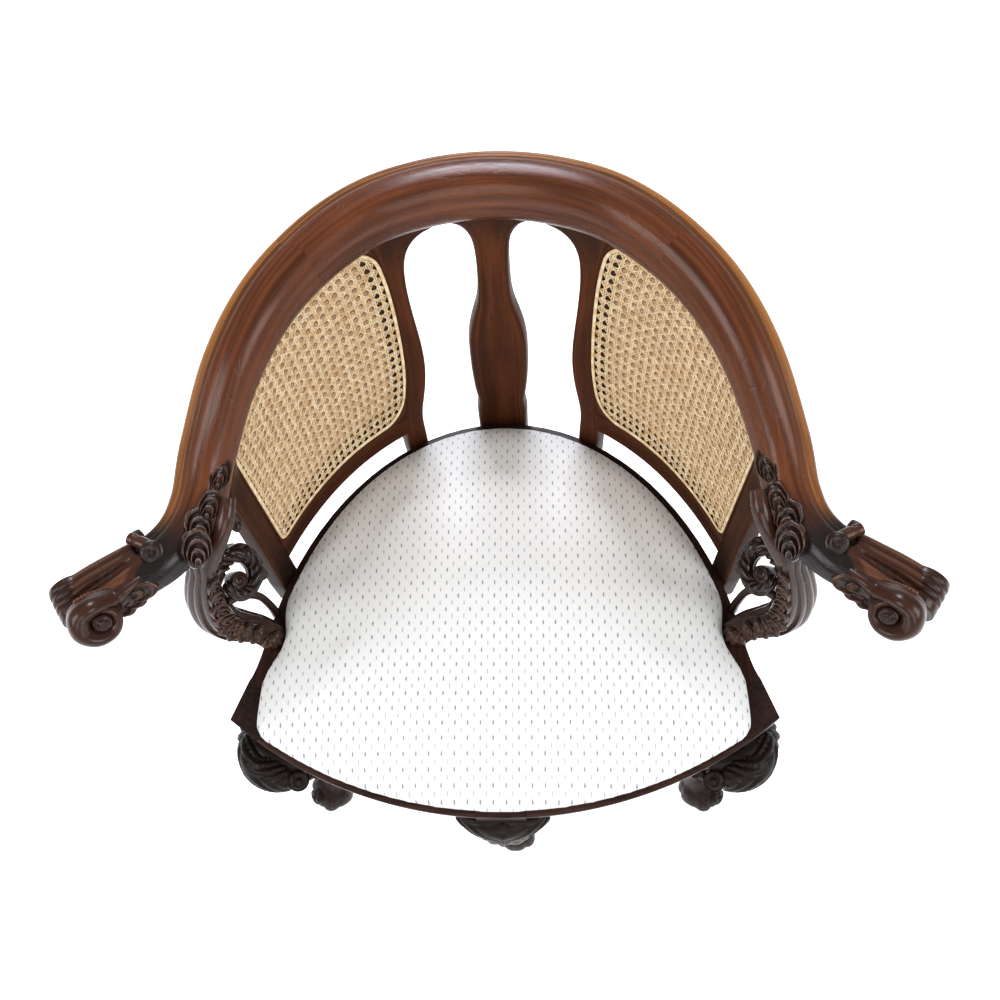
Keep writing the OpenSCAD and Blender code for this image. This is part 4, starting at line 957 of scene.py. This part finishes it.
# ARM SUPPORTS
# Each arm stands on a carved support of mahogany, nearly black with old polish. It rises from the
# seat rail in an S, with a row of scallops up its stem, more of them fanned under the arm, and a
# corbel at its head. A leafed coil and a loop fill the angle between it and the caned panel.
carved_finish = polished("carved mahogany", (0.2, 0.085, 0.04), (0.075, 0.028, 0.015),
                         (0.034, 0.013, 0.008), (0.012, 0.0065, 0.005), (0.16, 0.075, 0.045),
                         along="z", gloss=0.17, coat=0.2)


support_path, support_half = smooth_path(
    [(0.2447, -0.0735, 0.4503, 0.0148), (0.246, -0.0738, 0.461, 0.0143),
     (0.2555, -0.0715, 0.4745, 0.0142), (0.269, -0.0718, 0.4865, 0.0155),
     (0.2795, -0.073, 0.503, 0.017), (0.2845, -0.071, 0.529, 0.0188),
     (0.2832, -0.066, 0.56, 0.0182), (0.2765, -0.0605, 0.591, 0.0152),
     (0.2685, -0.054, 0.617, 0.0128), (0.2655, -0.045, 0.6475, 0.0125)], 260)
support = [band("stem", support_path, support_half, Vector((0, 1, 0)), 5.5, 0.5, 0.2)]
for i, lean, turn, length, width in (
        (20, 44, 84, 0.024, 0.0125), (38, 45, 87, 0.025, 0.013), (56, 44, 90, 0.026, 0.0135),
        (74, 44, 90, 0.026, 0.014), (94, 40, 65, 0.027, 0.0155), (116, 36, 35, 0.03, 0.018),
        (141, 38, 14, 0.032, 0.019), (166, 34, 8, 0.03, 0.018), (191, 34, 4, 0.028, 0.0165)):
    go = (support_path[i + 3] - support_path[i - 3]).normalized()
    out = go.cross(Vector((0, 1, 0))).normalized()
    lean, turn = math.radians(lean), math.radians(turn)
    facing = out * math.cos(lean) - Vector((0, math.sin(lean), 0))
    across = go.cross(facing)
    support.append(shell("stem_scallop", support_path[i] + facing * support_half[i] * 0.9, facing,
                         go * math.cos(turn) + across * math.sin(turn), length, width, 3, 0.17, 0.55))
for place, facing, toward, length, width in (
        ((0.2505, -0.0655, 0.678), (-0.7, -0.35, 0.75), (-0.1, 0.9, 0.5), 0.036, 0.027),
        ((0.2505, -0.0455, 0.6805), (-0.65, -0.25, 0.8), (-0.1, 0.9, 0.45), 0.033, 0.025),
        ((0.2425, -0.028, 0.6825), (-0.6, -0.2, 0.8), (-0.35, 0.9, 0.2), 0.033, 0.02),
        ((0.237, 0.0015, 0.683), (-0.5, -0.1, 0.85), (-0.2, 0.95, 0.1), 0.037, 0.018)):
    support.append(shell("arm_scallop", Vector(place), Vector(facing), Vector(toward), length,
                         width, 4, 0.16))
rib, rib_half = smooth_path([(0.2525, -0.0665, 0.636, 0.0066), (0.2385, -0.0525, 0.66, 0.0074),
                             (0.2295, -0.0375, 0.675, 0.0074), (0.2265, -0.021, 0.683, 0.006)], 24)
support.append(band("rib", rib, rib_half, Vector((0.7, 0.5, 0)), 1, 0.25, 0.06))
support.append(shell("rib_scallop", Vector((0.241, -0.0165, 0.628)), Vector((-0.85, -0.25, 0.45)),
                     Vector((-0.05, 0.45, 0.85)), 0.027, 0.015, 3))
head, head_half = smooth_path([(0.2672, -0.052, 0.6, 0.009), (0.266, -0.0425, 0.617, 0.0125),
                               (0.2645, -0.0325, 0.632, 0.0135), (0.2642, -0.0297, 0.6478, 0.0135)], 24)
sprig, sprig_half = smooth_path([(0.2635, -0.0345, 0.629, 0.0062), (0.2545, -0.0265, 0.6255, 0.0056),
                                 (0.2425, -0.0175, 0.6262, 0.0044)], 20)
support += [band("head", head, head_half, Vector((0, 1, 0)), 3, 0.4, 0.1),
            band("sprig", sprig, sprig_half, Vector((0, 0, 1)), 2, 0.5, 0.08)]
support = join("arm_support_right_carved", support)

coil_face = Vector((-0.74, -0.22, 0.64)).normalized()
forward = Vector((0.07, -1, 0))
coil_front = (forward - coil_face * forward.dot(coil_face)).normalized()
coil_rise = coil_face.cross(coil_front)
coil_middle = Vector((0.257, -0.0472, 0.5525))
coil_path, coil_half = smooth_path(
    spiral(coil_middle, coil_front, coil_rise,
           ((40, 0.031, 0.0066), (75, 0.0246, 0.008), (110, 0.0238, 0.0086),
            (145, 0.0252, 0.0087), (180, 0.0252, 0.0085), (215, 0.0222, 0.0078),
            (250, 0.0183, 0.0069), (285, 0.0154, 0.006), (320, 0.0134, 0.0053),
            (355, 0.0116, 0.0045), (390, 0.0094, 0.004), (430, 0.0074, 0.0034))), 190)
scroll = [band("coil", coil_path, coil_half, coil_face, 2.5, 0.72, 0.1, 1.15,
               (12, 0.95, 1.35, 0.0026, 1.3)),
          volute("coil_eye", coil_middle, coil_face, 0.0092, 0.015, 1.6, eye=0.35, age_and_shade=0.6)]
knob, knob_half = smooth_path([(0.2515, -0.036, 0.5385, 0.0035), (0.2475, -0.034, 0.534, 0.0062),
                               (0.244, -0.0325, 0.53, 0.0036), (0.2405, -0.031, 0.5255, 0.006),
                               (0.238, -0.03, 0.522, 0.004)], 30)
scroll.append(band("knob", knob, knob_half, Vector((0, 0.3, 1)), 2, 0.4, 0.06))
loop, loop_half = smooth_path([(0.2705, -0.0645, 0.5385, 0.0055), (0.2625, -0.05, 0.519, 0.0048),
                               (0.2535, -0.041, 0.49, 0.0042), (0.2475, -0.043, 0.465, 0.0044),
                               (0.2445, -0.047, 0.4503, 0.005)], 40)
scroll.append(band("lower_loop", loop, loop_half, Vector((0.3, 1, 0)), 2, 0.6, 0.08))
scroll = join("support_scroll_right_carved", scroll)

settle_both(support, carved_finish, "dark_mahogany", "arm_support_right")
settle_both(scroll, carved_finish, "dark_mahogany", "support_scroll_right")

# SEAT RAILS
# Six sawn mahogany rails doweled round the seat, their edges rubbed round by use. Each is its
# construction solid with its edges eased, and the grain runs along it.
rail_colours = ((0.16, 0.066, 0.036), (0.046, 0.0185, 0.0125), (0.02, 0.0095, 0.0075),
                (0.009, 0.0065, 0.006), (0.13, 0.062, 0.04))


def soft_copy(node, name, ease=0.0014):
    """A copy of a construction solid with its sharp edges rounded."""
    made = copy_of(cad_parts[node], name)
    made.parent = None
    bpy.ops.object.mode_set(mode="EDIT")
    bpy.ops.mesh.select_all(action="SELECT")
    bpy.ops.mesh.remove_doubles(threshold=0.00002)
    bpy.ops.mesh.dissolve_limited(angle_limit=math.radians(0.8))
    bpy.ops.object.mode_set(mode="OBJECT")
    finished(made, "BEVEL", width=ease, segments=3, limit_method="ANGLE",
             angle_limit=math.radians(38), use_clamp_overlap=True)
    bpy.ops.object.shade_smooth_by_angle(angle=math.radians(50))
    return made


for group, grain in (("front", "x"), ("side", "y"), ("back", "x")):
    finish = polished(group + " rail mahogany", *rail_colours, along=grain, gloss=0.36, coat=0.06)
    for side in ("left", "right"):
        node = "seat_rail_" + group + "_" + side
        settle(soft_copy(node, node + "_eased"), finish, "mahogany", node)

# LEGS
# Four cabriole legs, in the middle of the front, the back and each side, each sawn with its block
# from one piece of mahogany. Leaves are carved over the knees, a scrolled band wraps each side
# knee, and the feet end in lobed toes. A row gives height, bow, knee and foot as shares.
leg_rows = [(0, 1.2, 0, 0.94), (0.035, 1.2, 0, 1), (0.07, 1, 0, 0.7), (0.1, 0.7, 0, 0.2),
            (0.14, 0.4, 0, 0), (0.24, 0.15, 0.02, 0), (0.4, 0.1, 0.16, 0), (0.57, 0.35, 0.38, 0),
            (0.72, 0.8, 0.68, 0), (0.84, 1.05, 0.94, 0), (0.93, 1, 1, 0), (0.98, 0.6, 0.72, 0),
            (1, 0, 0.18, 0)]
leg_top = 0.388
leg_bow, leg_slim, knee_swell, foot_swell = 0.018, 0.013, 0.018, 0.017
leg_finish = polished("leg mahogany", (0.2, 0.085, 0.04), (0.036, 0.018, 0.014),
                      (0.018, 0.01, 0.008), (0.009, 0.006, 0.005), (0.1, 0.055, 0.038),
                      along="z", gloss=0.4, coat=0.06)


def leg_at(leg, s):
    """A leg's middle, its half width and its way out, at a share of its height."""
    middle, turn, knee_share, foot_set = leg
    bow, knee, foot = (eased([(row[0], row[part]) for row in leg_rows], s) for part in (1, 2, 3))
    out = bow * leg_bow * knee_share + foot_set * (1 - s)
    way = Vector((math.cos(turn), math.sin(turn), 0))
    return (Vector((middle[0], middle[1] - origin_y, s * leg_top)) + way * out,
            leg_slim + knee_swell * max(0, knee) + foot_swell * max(0, foot), way)


def leg_shaft(leg):
    """The curved shaft, with strokes cut over its knee and lobes at its foot."""
    rings, tones = [], []
    shares = [0, 0.003, 0.008] + [0.015 + 0.985 * i / 190 for i in range(191)]
    for s in shares:
        middle, half, way = leg_at(leg, s)
        side = Vector((-way.y, way.x, 0))
        toes = ramp(0.15, 0.05, s)
        shrink = 1 - 0.12 * ramp(0.012, 0, s)
        ring, tone = [], []
        for i in range(72):
            turn = 2 * math.pi * i / 72
            a, b = squared(math.cos(turn), 0.8), squared(math.sin(turn), 0.8)
            lobe = abs(math.cos(turn * 3.5)) ** 0.7
            q = ((turn + math.pi) % (2 * math.pi) - math.pi) / 1.5
            cover = ramp(1.1, 0.9, abs(q)) * ramp(0.55, 0.68, s) * ramp(1, 0.985, s)
            cut = strokes(9 * (1 - s), q, 3.2)
            reach = half * shrink * (1 + toes * (0.1 * lobe - 0.1)) + cover * 0.0032 * (cut - 0.3)
            ring.append(middle + way * a * reach + side * b * reach)
            tone.append((0, 0.35 + 0.45 * ramp(0.12, 0, s) + 0.4 * ramp(0.6, 0.8, s),
                         0.15 + toes * 0.5 * lobe + cover * 0.35 * cut))
        rings.append(ring)
        tones.append(tone)
    return wrap("shaft", rings, tones, 40)


def leg_block(node):
    """The leg's own block, cut from a copy of its construction solid."""
    block = soft_copy(node, "block", 0.0012)
    bpy.ops.object.mode_set(mode="EDIT")
    bpy.ops.mesh.select_all(action="SELECT")
    bpy.ops.mesh.bisect(plane_co=(0, 0, leg_top + 0.0004), plane_no=(0, 0, 1),
                        clear_inner=True, use_fill=True)
    bpy.ops.object.mode_set(mode="OBJECT")
    block.data.attributes.new("tone", "FLOAT_VECTOR", "POINT")
    return block


front_middle, side_middle, back_middle = (0, -0.0797), (0.2446, 0.013), (0, 0.3285)
front_place = (front_middle, math.radians(-90), 0.1, -0.024)
side_place = (side_middle, math.radians(-37), 1.4, -0.004)
back_place = (back_middle, math.radians(90), 1.0, 0.008)
skyward = Vector((0, 0, 1))
sweep, sweep_half = smooth_path([(0.2745, -0.161, 0.375, 0.013), (0.2735, -0.178, 0.374, 0.0165),
                                 (0.266, -0.1925, 0.372, 0.0185), (0.2535, -0.199, 0.371, 0.019),
                                 (0.2395, -0.2025, 0.37, 0.017), (0.2285, -0.2045, 0.37, 0.0135)], 110)
root, root_half = smooth_path([(0.276, -0.166, 0.374, 0.02), (0.256, -0.18, 0.374, 0.021),
                               (0.236, -0.187, 0.375, 0.018), (0.214, -0.191, 0.378, 0.012)], 24)
link, link_half = smooth_path([(0.2215, -0.206, 0.37, 0.008), (0.2115, -0.2045, 0.3735, 0.0055),
                               (0.2, -0.2015, 0.378, 0.004)], 16)
side_carving = [band("sweep", sweep, sweep_half, skyward, 1, 0.75, 0.05, 1.15,
                     (4, 2.35, 1.6, 0.0024, 3.4)),
                band("root", root, root_half, skyward, 1, 0.75, 0.03, 1.0),
                band("link", link, link_half, skyward, 1, 0.6, 0.03),
                volute("ear", Vector((0.2225, -0.2085, 0.3735)), Vector((-0.25, -0.45, 0.85)),
                       0.0115, 0.016, 1.3, eye=0.42, age_and_shade=0.65),
                volute("ring", Vector((0.2015, -0.2045, 0.378)), Vector((0, -0.2, 1)),
                       0.0048, 0.007, 1, eye=0.45, age_and_shade=0.55),
                volute("toe", Vector((0.2835, -0.1765, 0.0225)), Vector((0.7, -0.5, 0.55)),
                       0.0115, 0.012, 1.8, eye=0.3, age_and_shade=0.75)]
wing, wing_half = smooth_path([(0.046, -0.2435, 0.403, 0.0065), (0.036, -0.248, 0.4015, 0.011),
                               (0.0225, -0.252, 0.398, 0.0155), (0.009, -0.2545, 0.3955, 0.0175),
                               (-0.004, -0.255, 0.395, 0.0178)], 80)
wing = band("wing_right", wing, wing_half, skyward, 1, 0.75, 0.05, 1.25,
            (2.5, 2.35, 1.6, 0.0018, 3.2))
front_carving = [other_side(wing), wing]
for x, low in ((0, 0.0), (0.007, 0.004), (-0.007, 0.004), (0.015, 0.009), (-0.015, 0.009)):
    vein, vein_half = smooth_path([(x * 0.3, -0.2715, 0.358, 0.0013),
                                   (x * 0.7, -0.2745 + low * 0.4, 0.377, 0.0021),
                                   (x * 1.3, -0.2735 + low * 0.7, 0.394, 0.0021),
                                   (x * 2.1, -0.267 + low, 0.4075, 0.0013)], 16)
    front_carving.append(band("vein", vein, vein_half, Vector((1, 0, 0)), 1, 0.55, 0.03))

for node, place, carving in (("front_leg", front_place, front_carving),
                             ("side_leg_right", side_place, side_carving),
                             ("back_leg", back_place, [])):
    whole = join(node + "_carved", [leg_block(node), leg_shaft(place)] + carving)
    put = settle_both if node == "side_leg_right" else settle
    put(whole, leg_finish, "mahogany", node)

# KNEE BRACKETS
# A small scrolled bracket is glued on at each side of a knee, under the rail. Its edge is a
# carved leaf that curls into an ear with a spiral cut in it; its hollow is painted darker as shade, and
# its lower edge gets a painted highlight.
bracket_l, bracket_h, bracket_t, bracket_eye, bracket_start = 0.042, 0.046, 0.022, 0.008, 0.0323


def bracket(name, middle, turn, top):
    """A bracket that runs out from a leg's middle, with its upper edge at a height."""
    go = Vector((math.cos(turn), math.sin(turn), 0))
    side = Vector((-go.y, go.x, 0))
    base = Vector((middle[0], middle[1] - origin_y, top - bracket_h)) + go * bracket_start
    hollow_x = bracket_l - bracket_eye
    hollow_z = hollow_x * bracket_h / bracket_l

    def low(x):
        inside_arc = 1 - ((x - bracket_l) / hollow_x) ** 2
        return hollow_z * math.sqrt(inside_arc) if inside_arc > 0 and x > bracket_eye else 0.0

    rings, tones = [], []
    for j in range(41):
        x = bracket_l * 0.93 * j / 40
        z0, z1 = low(x), bracket_h
        pinch = 1 - 0.25 * ramp(0.2, 0.6, j / 40)
        ring, tone = [], []
        for i in range(32):
            t = 2 * math.pi * i / 32
            a, b = squared(math.cos(t), 0.5), squared(math.sin(t), 0.5)
            ring.append(base + go * x + side * b * bracket_t / 2 * pinch
                        + Vector((0, 0, (z0 + z1) / 2 + a * (z1 - z0) / 2)))
            # painted shade: the lower part darker; painted highlight: the bronze ridge tone along the
            # lower edge
            tone.append((0, 0.3 + 0.3 * ramp(0.3, -0.8, a), 0.5 * ramp(-0.5, -1, a)))
        rings.append(ring)
        tones.append(tone)
    pieces = [wrap("bracket_body", rings, tones, 50)]
    ear = base + go * (bracket_l - bracket_eye / 2) + Vector((0, 0, bracket_h - bracket_eye - 0.0004))
    pieces.append(volute("ear", ear, side, bracket_eye - 0.0004, bracket_t + 0.001, 1.8, eye=0.35,
                         age_and_shade=0.6))
    for hand in (-1, 1):
        spine, facing = [], []
        for i in range(8):
            x = 0.036 - 0.033 * i / 7
            z = low(x) + (bracket_h - low(x)) * 0.42
            spine.append(base + go * x + Vector((0, 0, z)) + side * hand * (bracket_t / 2 * 0.86))
            facing.append(side * hand)
        pieces.append(leaf("bracket_leaf", spine, facing, 0.021, 4, arch=0.1, age_and_shade=0.5))
    return join(name, pieces)


low_top, high_top = 0.3957, 0.4157
for node, middle, degrees, top in (
        ("front_leg_bracket_right", front_middle, 6.5, high_top),
        ("side_leg_right_front_bracket", side_middle, 208.2, high_top),
        ("side_leg_right_rear_bracket", side_middle, 101.9, low_top),
        ("back_leg_bracket_right", back_middle, -10, low_top)):
    made = bracket(node + "_carved", middle, math.radians(degrees), top)
    settle_both(made, leg_finish, "mahogany", node)

# DROP IN SEAT
# A stuffed pad under an off white cotton that is printed with small grey dashes and dots. The cover
# is pulled down over the edge of a loose frame and tacked under it, so the pad is fullest in the
# middle, tight along the edges, and hollowed a little beside the arm supports.
well_x, well_back, well_front_r, well_front_y = 0.248, 0.335, 0.44933, 0.36033
pad_corner, notch_y, notch_half, notch_depth = 0.021, 0.08, 0.045, 0.0125
held_below, crown_from, crown_full, most_swell = 0.458, 0.461, 0.469, 0.004
cloth_frames = 20


def pad_outline(inset):
    """The well's outline drawn in: half an ellipse behind, an arc in front, notched at the arms."""
    a, b = well_x - inset, well_back - inset
    r_front, r = well_front_r - inset, max(pad_corner - inset, 0.008)
    fx = a - r
    fy = well_front_y - math.sqrt((r_front - r) ** 2 - fx ** 2)
    turn = math.atan2(fy - well_front_y, fx)
    t0 = math.asin(max(fy, 0) / b)
    points = [(a * math.cos(t), b * math.sin(t)) for t in
              (t0 + (math.pi - 2 * t0) * i / 90 for i in range(91))]
    points += [(-fx + r * math.cos(t), fy + r * math.sin(t)) for t in
               (math.pi - turn * i / 14 for i in range(15))]
    points += [(r_front * math.cos(t), well_front_y + r_front * math.sin(t)) for t in
               (math.pi - turn + (math.pi + 2 * turn) * i / 60 for i in range(1, 60))]
    points += [(fx + r * math.cos(t), fy + r * math.sin(t)) for t in
               (turn * i / 14 for i in range(14, -1, -1))]
    made = []
    for x, y in points:
        near = abs(y - notch_y)
        cut = notch_depth * (1 + math.cos(math.pi * near / notch_half)) / 2 if near < notch_half else 0
        made.append(Vector((x - math.copysign(cut, x), y - origin_y)))
    return made


pad_middle = Vector((0, 0.1195 - origin_y))
pad_rings = []
for inset, draw, z in ((0.044, 0.6, 0.4368), (0.036, 0, 0.4368), (0.012, 0, 0.4366),
                       (0.004, 0, 0.4372), (0.0016, 0, 0.4395), (0.0013, 0, 0.446),
                       (0.0002, 0, 0.4502), (-0.0016, 0, 0.4524), (-0.0024, 0, 0.4552),
                       (-0.0021, 0.002, 0.4588), (-0.0012, 0.009, 0.4628), (0, 0.024, 0.4668),
                       (0.001, 0.05, 0.4702), (0.002, 0.085, 0.4728), (0.002, 0.14, 0.475),
                       (0.002, 0.22, 0.4766), (0.002, 0.34, 0.4776), (0.002, 0.5, 0.4781),
                       (0.002, 0.7, 0.4784), (0.002, 0.88, 0.4785)):
    outline = pad_outline(inset)
    pad_rings.append([Vector((*p.lerp(pad_middle, draw), z)) for p in outline])
pad = wrap("seat_pad", pad_rings, None, 60)
finished(pad, "REMESH", mode="VOXEL", voxel_size=0.0045)
bpy.ops.object.shade_smooth()
rest = [v.co.copy() for v in pad.data.vertices]
held = pad.vertex_groups.new(name="held")
held.add([i for i, co in enumerate(rest) if co.z < held_below], 1.0, "REPLACE")
swell = pad.modifiers.new("stuffing", "CLOTH")
swell.settings.use_pressure = True
swell.settings.uniform_pressure_force = 4.0
swell.settings.effector_weights.gravity = 0
swell.settings.vertex_group_mass = "held"
swell.settings.quality = 6
swell.settings.tension_stiffness = swell.settings.compression_stiffness = 25
swell.point_cache.frame_start, swell.point_cache.frame_end = 1, cloth_frames
for moment in range(1, cloth_frames + 1):
    bpy.context.scene.frame_set(moment)
bpy.ops.object.modifier_apply(modifier="stuffing")
bpy.context.scene.frame_set(1)
crown = pad.vertex_groups.new(name="crown")
for v, start in zip(pad.data.vertices, rest):
    swollen = min(max((v.co - start).z, 0), most_swell) * ramp(crown_from, crown_full, start.z)
    v.co = start + Vector((0, 0, swollen))
    crown.add([v.index], ramp(0.4605, 0.468, start.z), "REPLACE")
finished(pad, "SMOOTH", factor=0.5, iterations=24, vertex_group="crown")
finished(pad, "SUBSURF", levels=1, render_levels=1)

cover = Finish("printed cotton", (0.82, 0.8, 0.76), 0.85)
spot = cover.node("TexCoord", output=3)
across, back, _ = cover.parts(spot)
row_pitch, mark_pitch, thread_pitch = 0.0073, 0.0126, 0.00075
row = back / row_pitch
odd = row.math("FLOOR").math("MODULO", 2.0).math("ABSOLUTE")
mark = across / mark_pitch + odd * 0.5
wobble = cover.noise(spot, (420, 420, 420), 2)
u = (mark.math("FRACT") - 0.5).math("ABSOLUTE") * mark_pitch + (wobble - 0.5) * 0.0006
v = ((row.math("FRACT") - 0.5).math("ABSOLUTE")) * row_pitch + (wobble - 0.5) * 0.0012
dash = (1 - u.part(0.0003, 0.0009)) * (1 - v.part(0.0017, 0.0028)) * (0.88 - odd * 0.3)
knot = (1 - u.part(0.0006, 0.0011)) * (1 - v.part(0.0003, 0.001)) * (1 - odd)
marks = dash.math("MAXIMUM", knot)
warp = (across * (2 * math.pi / thread_pitch)).math("SINE")
weft = (back * (2 * math.pi / thread_pitch)).math("SINE")
cloud = cover.noise(spot, (9, 9, 9), 3)
cream = cover.mix(cloud.part(0.35, 0.7), (0.92, 0.925, 0.915), (0.88, 0.89, 0.885))
cover.set("Base Color", cover.mix(marks, cream, (0.21, 0.23, 0.26)))
cover.set("Roughness", wobble * 0.1 + 0.82)
cover.set("Sheen Weight", 0.15)
cover.bump(warp * 0.5 + weft * 0.5 + cloud * 2.0 - marks * 2.5, 0.00025, 0.4)
settle(pad, cover.material, "cover_cloth", "seat_cover", "seat_stuffing")

# SEAT FRAME AND FIXINGS
# Under the pad lie a loose frame of plain beech, jute webbing and hessian, tacked on with blued
# steel tacks. Beech dowels and glue blocks hold the chair together. These pieces are seen from
# below at most, so they keep their construction solids and only get their finishes.


def wood_plain(name, light, deep, along):
    f = Finish(name, light, 0.6)
    place = f.node("TexCoord", output=3)
    grain = f.noise(place, tuple(8 if axis == along else 220 for axis in "xyz"), 4)
    f.set("Base Color", f.mix(grain.part(0.35, 0.7), light, deep))
    f.set("Roughness", grain * 0.2 + 0.5)
    f.bump(grain, 0.0004, 0.4)
    return f.material


def jute(name, light, deep, pitch):
    f = Finish(name, light, 0.9)
    place = f.node("TexCoord", output=3)
    over, under = ((axis * (math.pi / pitch)).math("SINE") for axis in f.parts(place)[:2])
    thread = (over * under).math("ABSOLUTE")
    fuzz = f.noise(place, (500, 500, 500), 3)
    f.set("Base Color", f.mix(thread.part(0.0, 0.35) * 0.8, deep, f.mix(fuzz, deep, light)))
    f.set("Roughness", fuzz * 0.1 + 0.85)
    f.bump(thread + fuzz * 0.3, 0.0005, 0.6)
    return f.material


def dress(material, *nodes):
    for node in nodes:
        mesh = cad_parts[node].data
        mesh.materials.clear()
        mesh.materials.append(material)


beech_light, beech_deep = (0.56, 0.4, 0.24), (0.38, 0.24, 0.13)
dress(wood_plain("beech across", beech_light, beech_deep, "x"), "seat_frame_front", "seat_frame_back",
      "frame_dowels")
dress(wood_plain("beech lengthwise", beech_light, beech_deep, "y"), "seat_frame_left",
      "seat_frame_right", "arm_joint_dowels")
dress(wood_plain("beech upright", beech_light, beech_deep, "z"), "glue_blocks", "upright_dowels")
dress(jute("jute webbing", (0.4, 0.28, 0.16), (0.2, 0.13, 0.07), 0.0022), "webbing")
dress(jute("hessian", (0.46, 0.34, 0.2), (0.24, 0.16, 0.09), 0.0016), "hessian")
blued, rusty = (0.1, 0.1, 0.11), (0.16, 0.075, 0.04)
steel = Finish("blued tack steel", blued, 0.4)
steel.set("Metallic", 1.0)
rust = steel.noise(steel.node("TexCoord", output=3), (600, 600, 600), 3)
steel.set("Base Color", steel.mix(rust.part(0.5, 0.7), blued, rusty))
steel.set("Roughness", rust * 0.3 + 0.3)
dress(steel.material, "cover_tacks")

# FLOOR, LIGHT AND CAMERA
# The chair stands on a plain pale floor that the camera sees as white but that keeps its shadow.
# Soft lamps stand round it, and one behind throws the pale shine on the crest. The camera looks
# down from above the front, as in the photograph.
bpy.ops.object.select_all(action="DESELECT")
bpy.ops.mesh.primitive_plane_add(size=30, location=(0, 0, 0))
floor = bpy.context.object
floor.name = "studio_floor"
floor_finish = Finish("studio floor", (0.86, 0.86, 0.86), 0.9)
path = floor_finish.node("LightPath").socket.node
seen = sum(Value(floor_finish, path.outputs[ray])
           for ray in ("Is Camera Ray", "Is Glossy Ray", "Is Transmission Ray"))
floor_finish.set("Emission Color", floor_finish.mix(seen, (0, 0, 0), (0.8, 0.8, 0.8)))
floor_finish.set("Emission Strength", 1.0)
floor.data.materials.append(floor_finish.material)

bpy.context.scene.view_settings.view_transform = "Standard"

world = bpy.data.worlds.new("studio")
bpy.context.scene.world = world
world.use_nodes = True
backdrop = world.node_tree.nodes["Background"]
backdrop.inputs["Color"].default_value = (1, 1, 1, 1)
backdrop.inputs["Strength"].default_value = 0.35

for name, place, target, size, power in (
        ("window", (-0.1, 2.1, 2.5), (0, 0.1, 0.7), 0.95, 60),
        ("left soft box", (-2.2, -1.3, 2.4), (0, 0, 0.5), 1.6, 46),
        ("right soft box", (2.3, -1.1, 2.2), (0, 0, 0.5), 1.6, 44),
        ("front fill", (0.2, -2.6, 1.9), (0, 0, 0.4), 1.8, 26)):
    lamp = bpy.data.lights.new(name, "AREA")
    lamp.shape, lamp.size, lamp.energy = "SQUARE", size, power
    lamp.color = (0.86, 0.88, 1) if name == "window" else (1, 1, 1)
    stand = bpy.data.objects.new(name, lamp)
    bpy.context.collection.objects.link(stand)
    stand.location = place
    stand.rotation_euler = (Vector(target) - Vector(place)).to_track_quat("-Z", "Y").to_euler()

lens = bpy.data.cameras.new("camera")
camera = bpy.data.objects.new("camera", lens)
bpy.context.collection.objects.link(camera)
bpy.context.scene.camera = camera
lens.sensor_width, lens.sensor_fit, lens.lens = 36, "HORIZONTAL", 32.9
yaw, tilt, roll = math.radians(6.07), math.radians(63.97), math.radians(-6.31)
camera.matrix_world = (Matrix.Translation((0.0452, -0.36665, 1.3824))
                       @ Matrix.Rotation(yaw, 4, "Z")
                       @ Matrix.Rotation(math.pi / 2 - tilt, 4, "X")
                       @ Matrix.Rotation(roll, 4, "Z"))
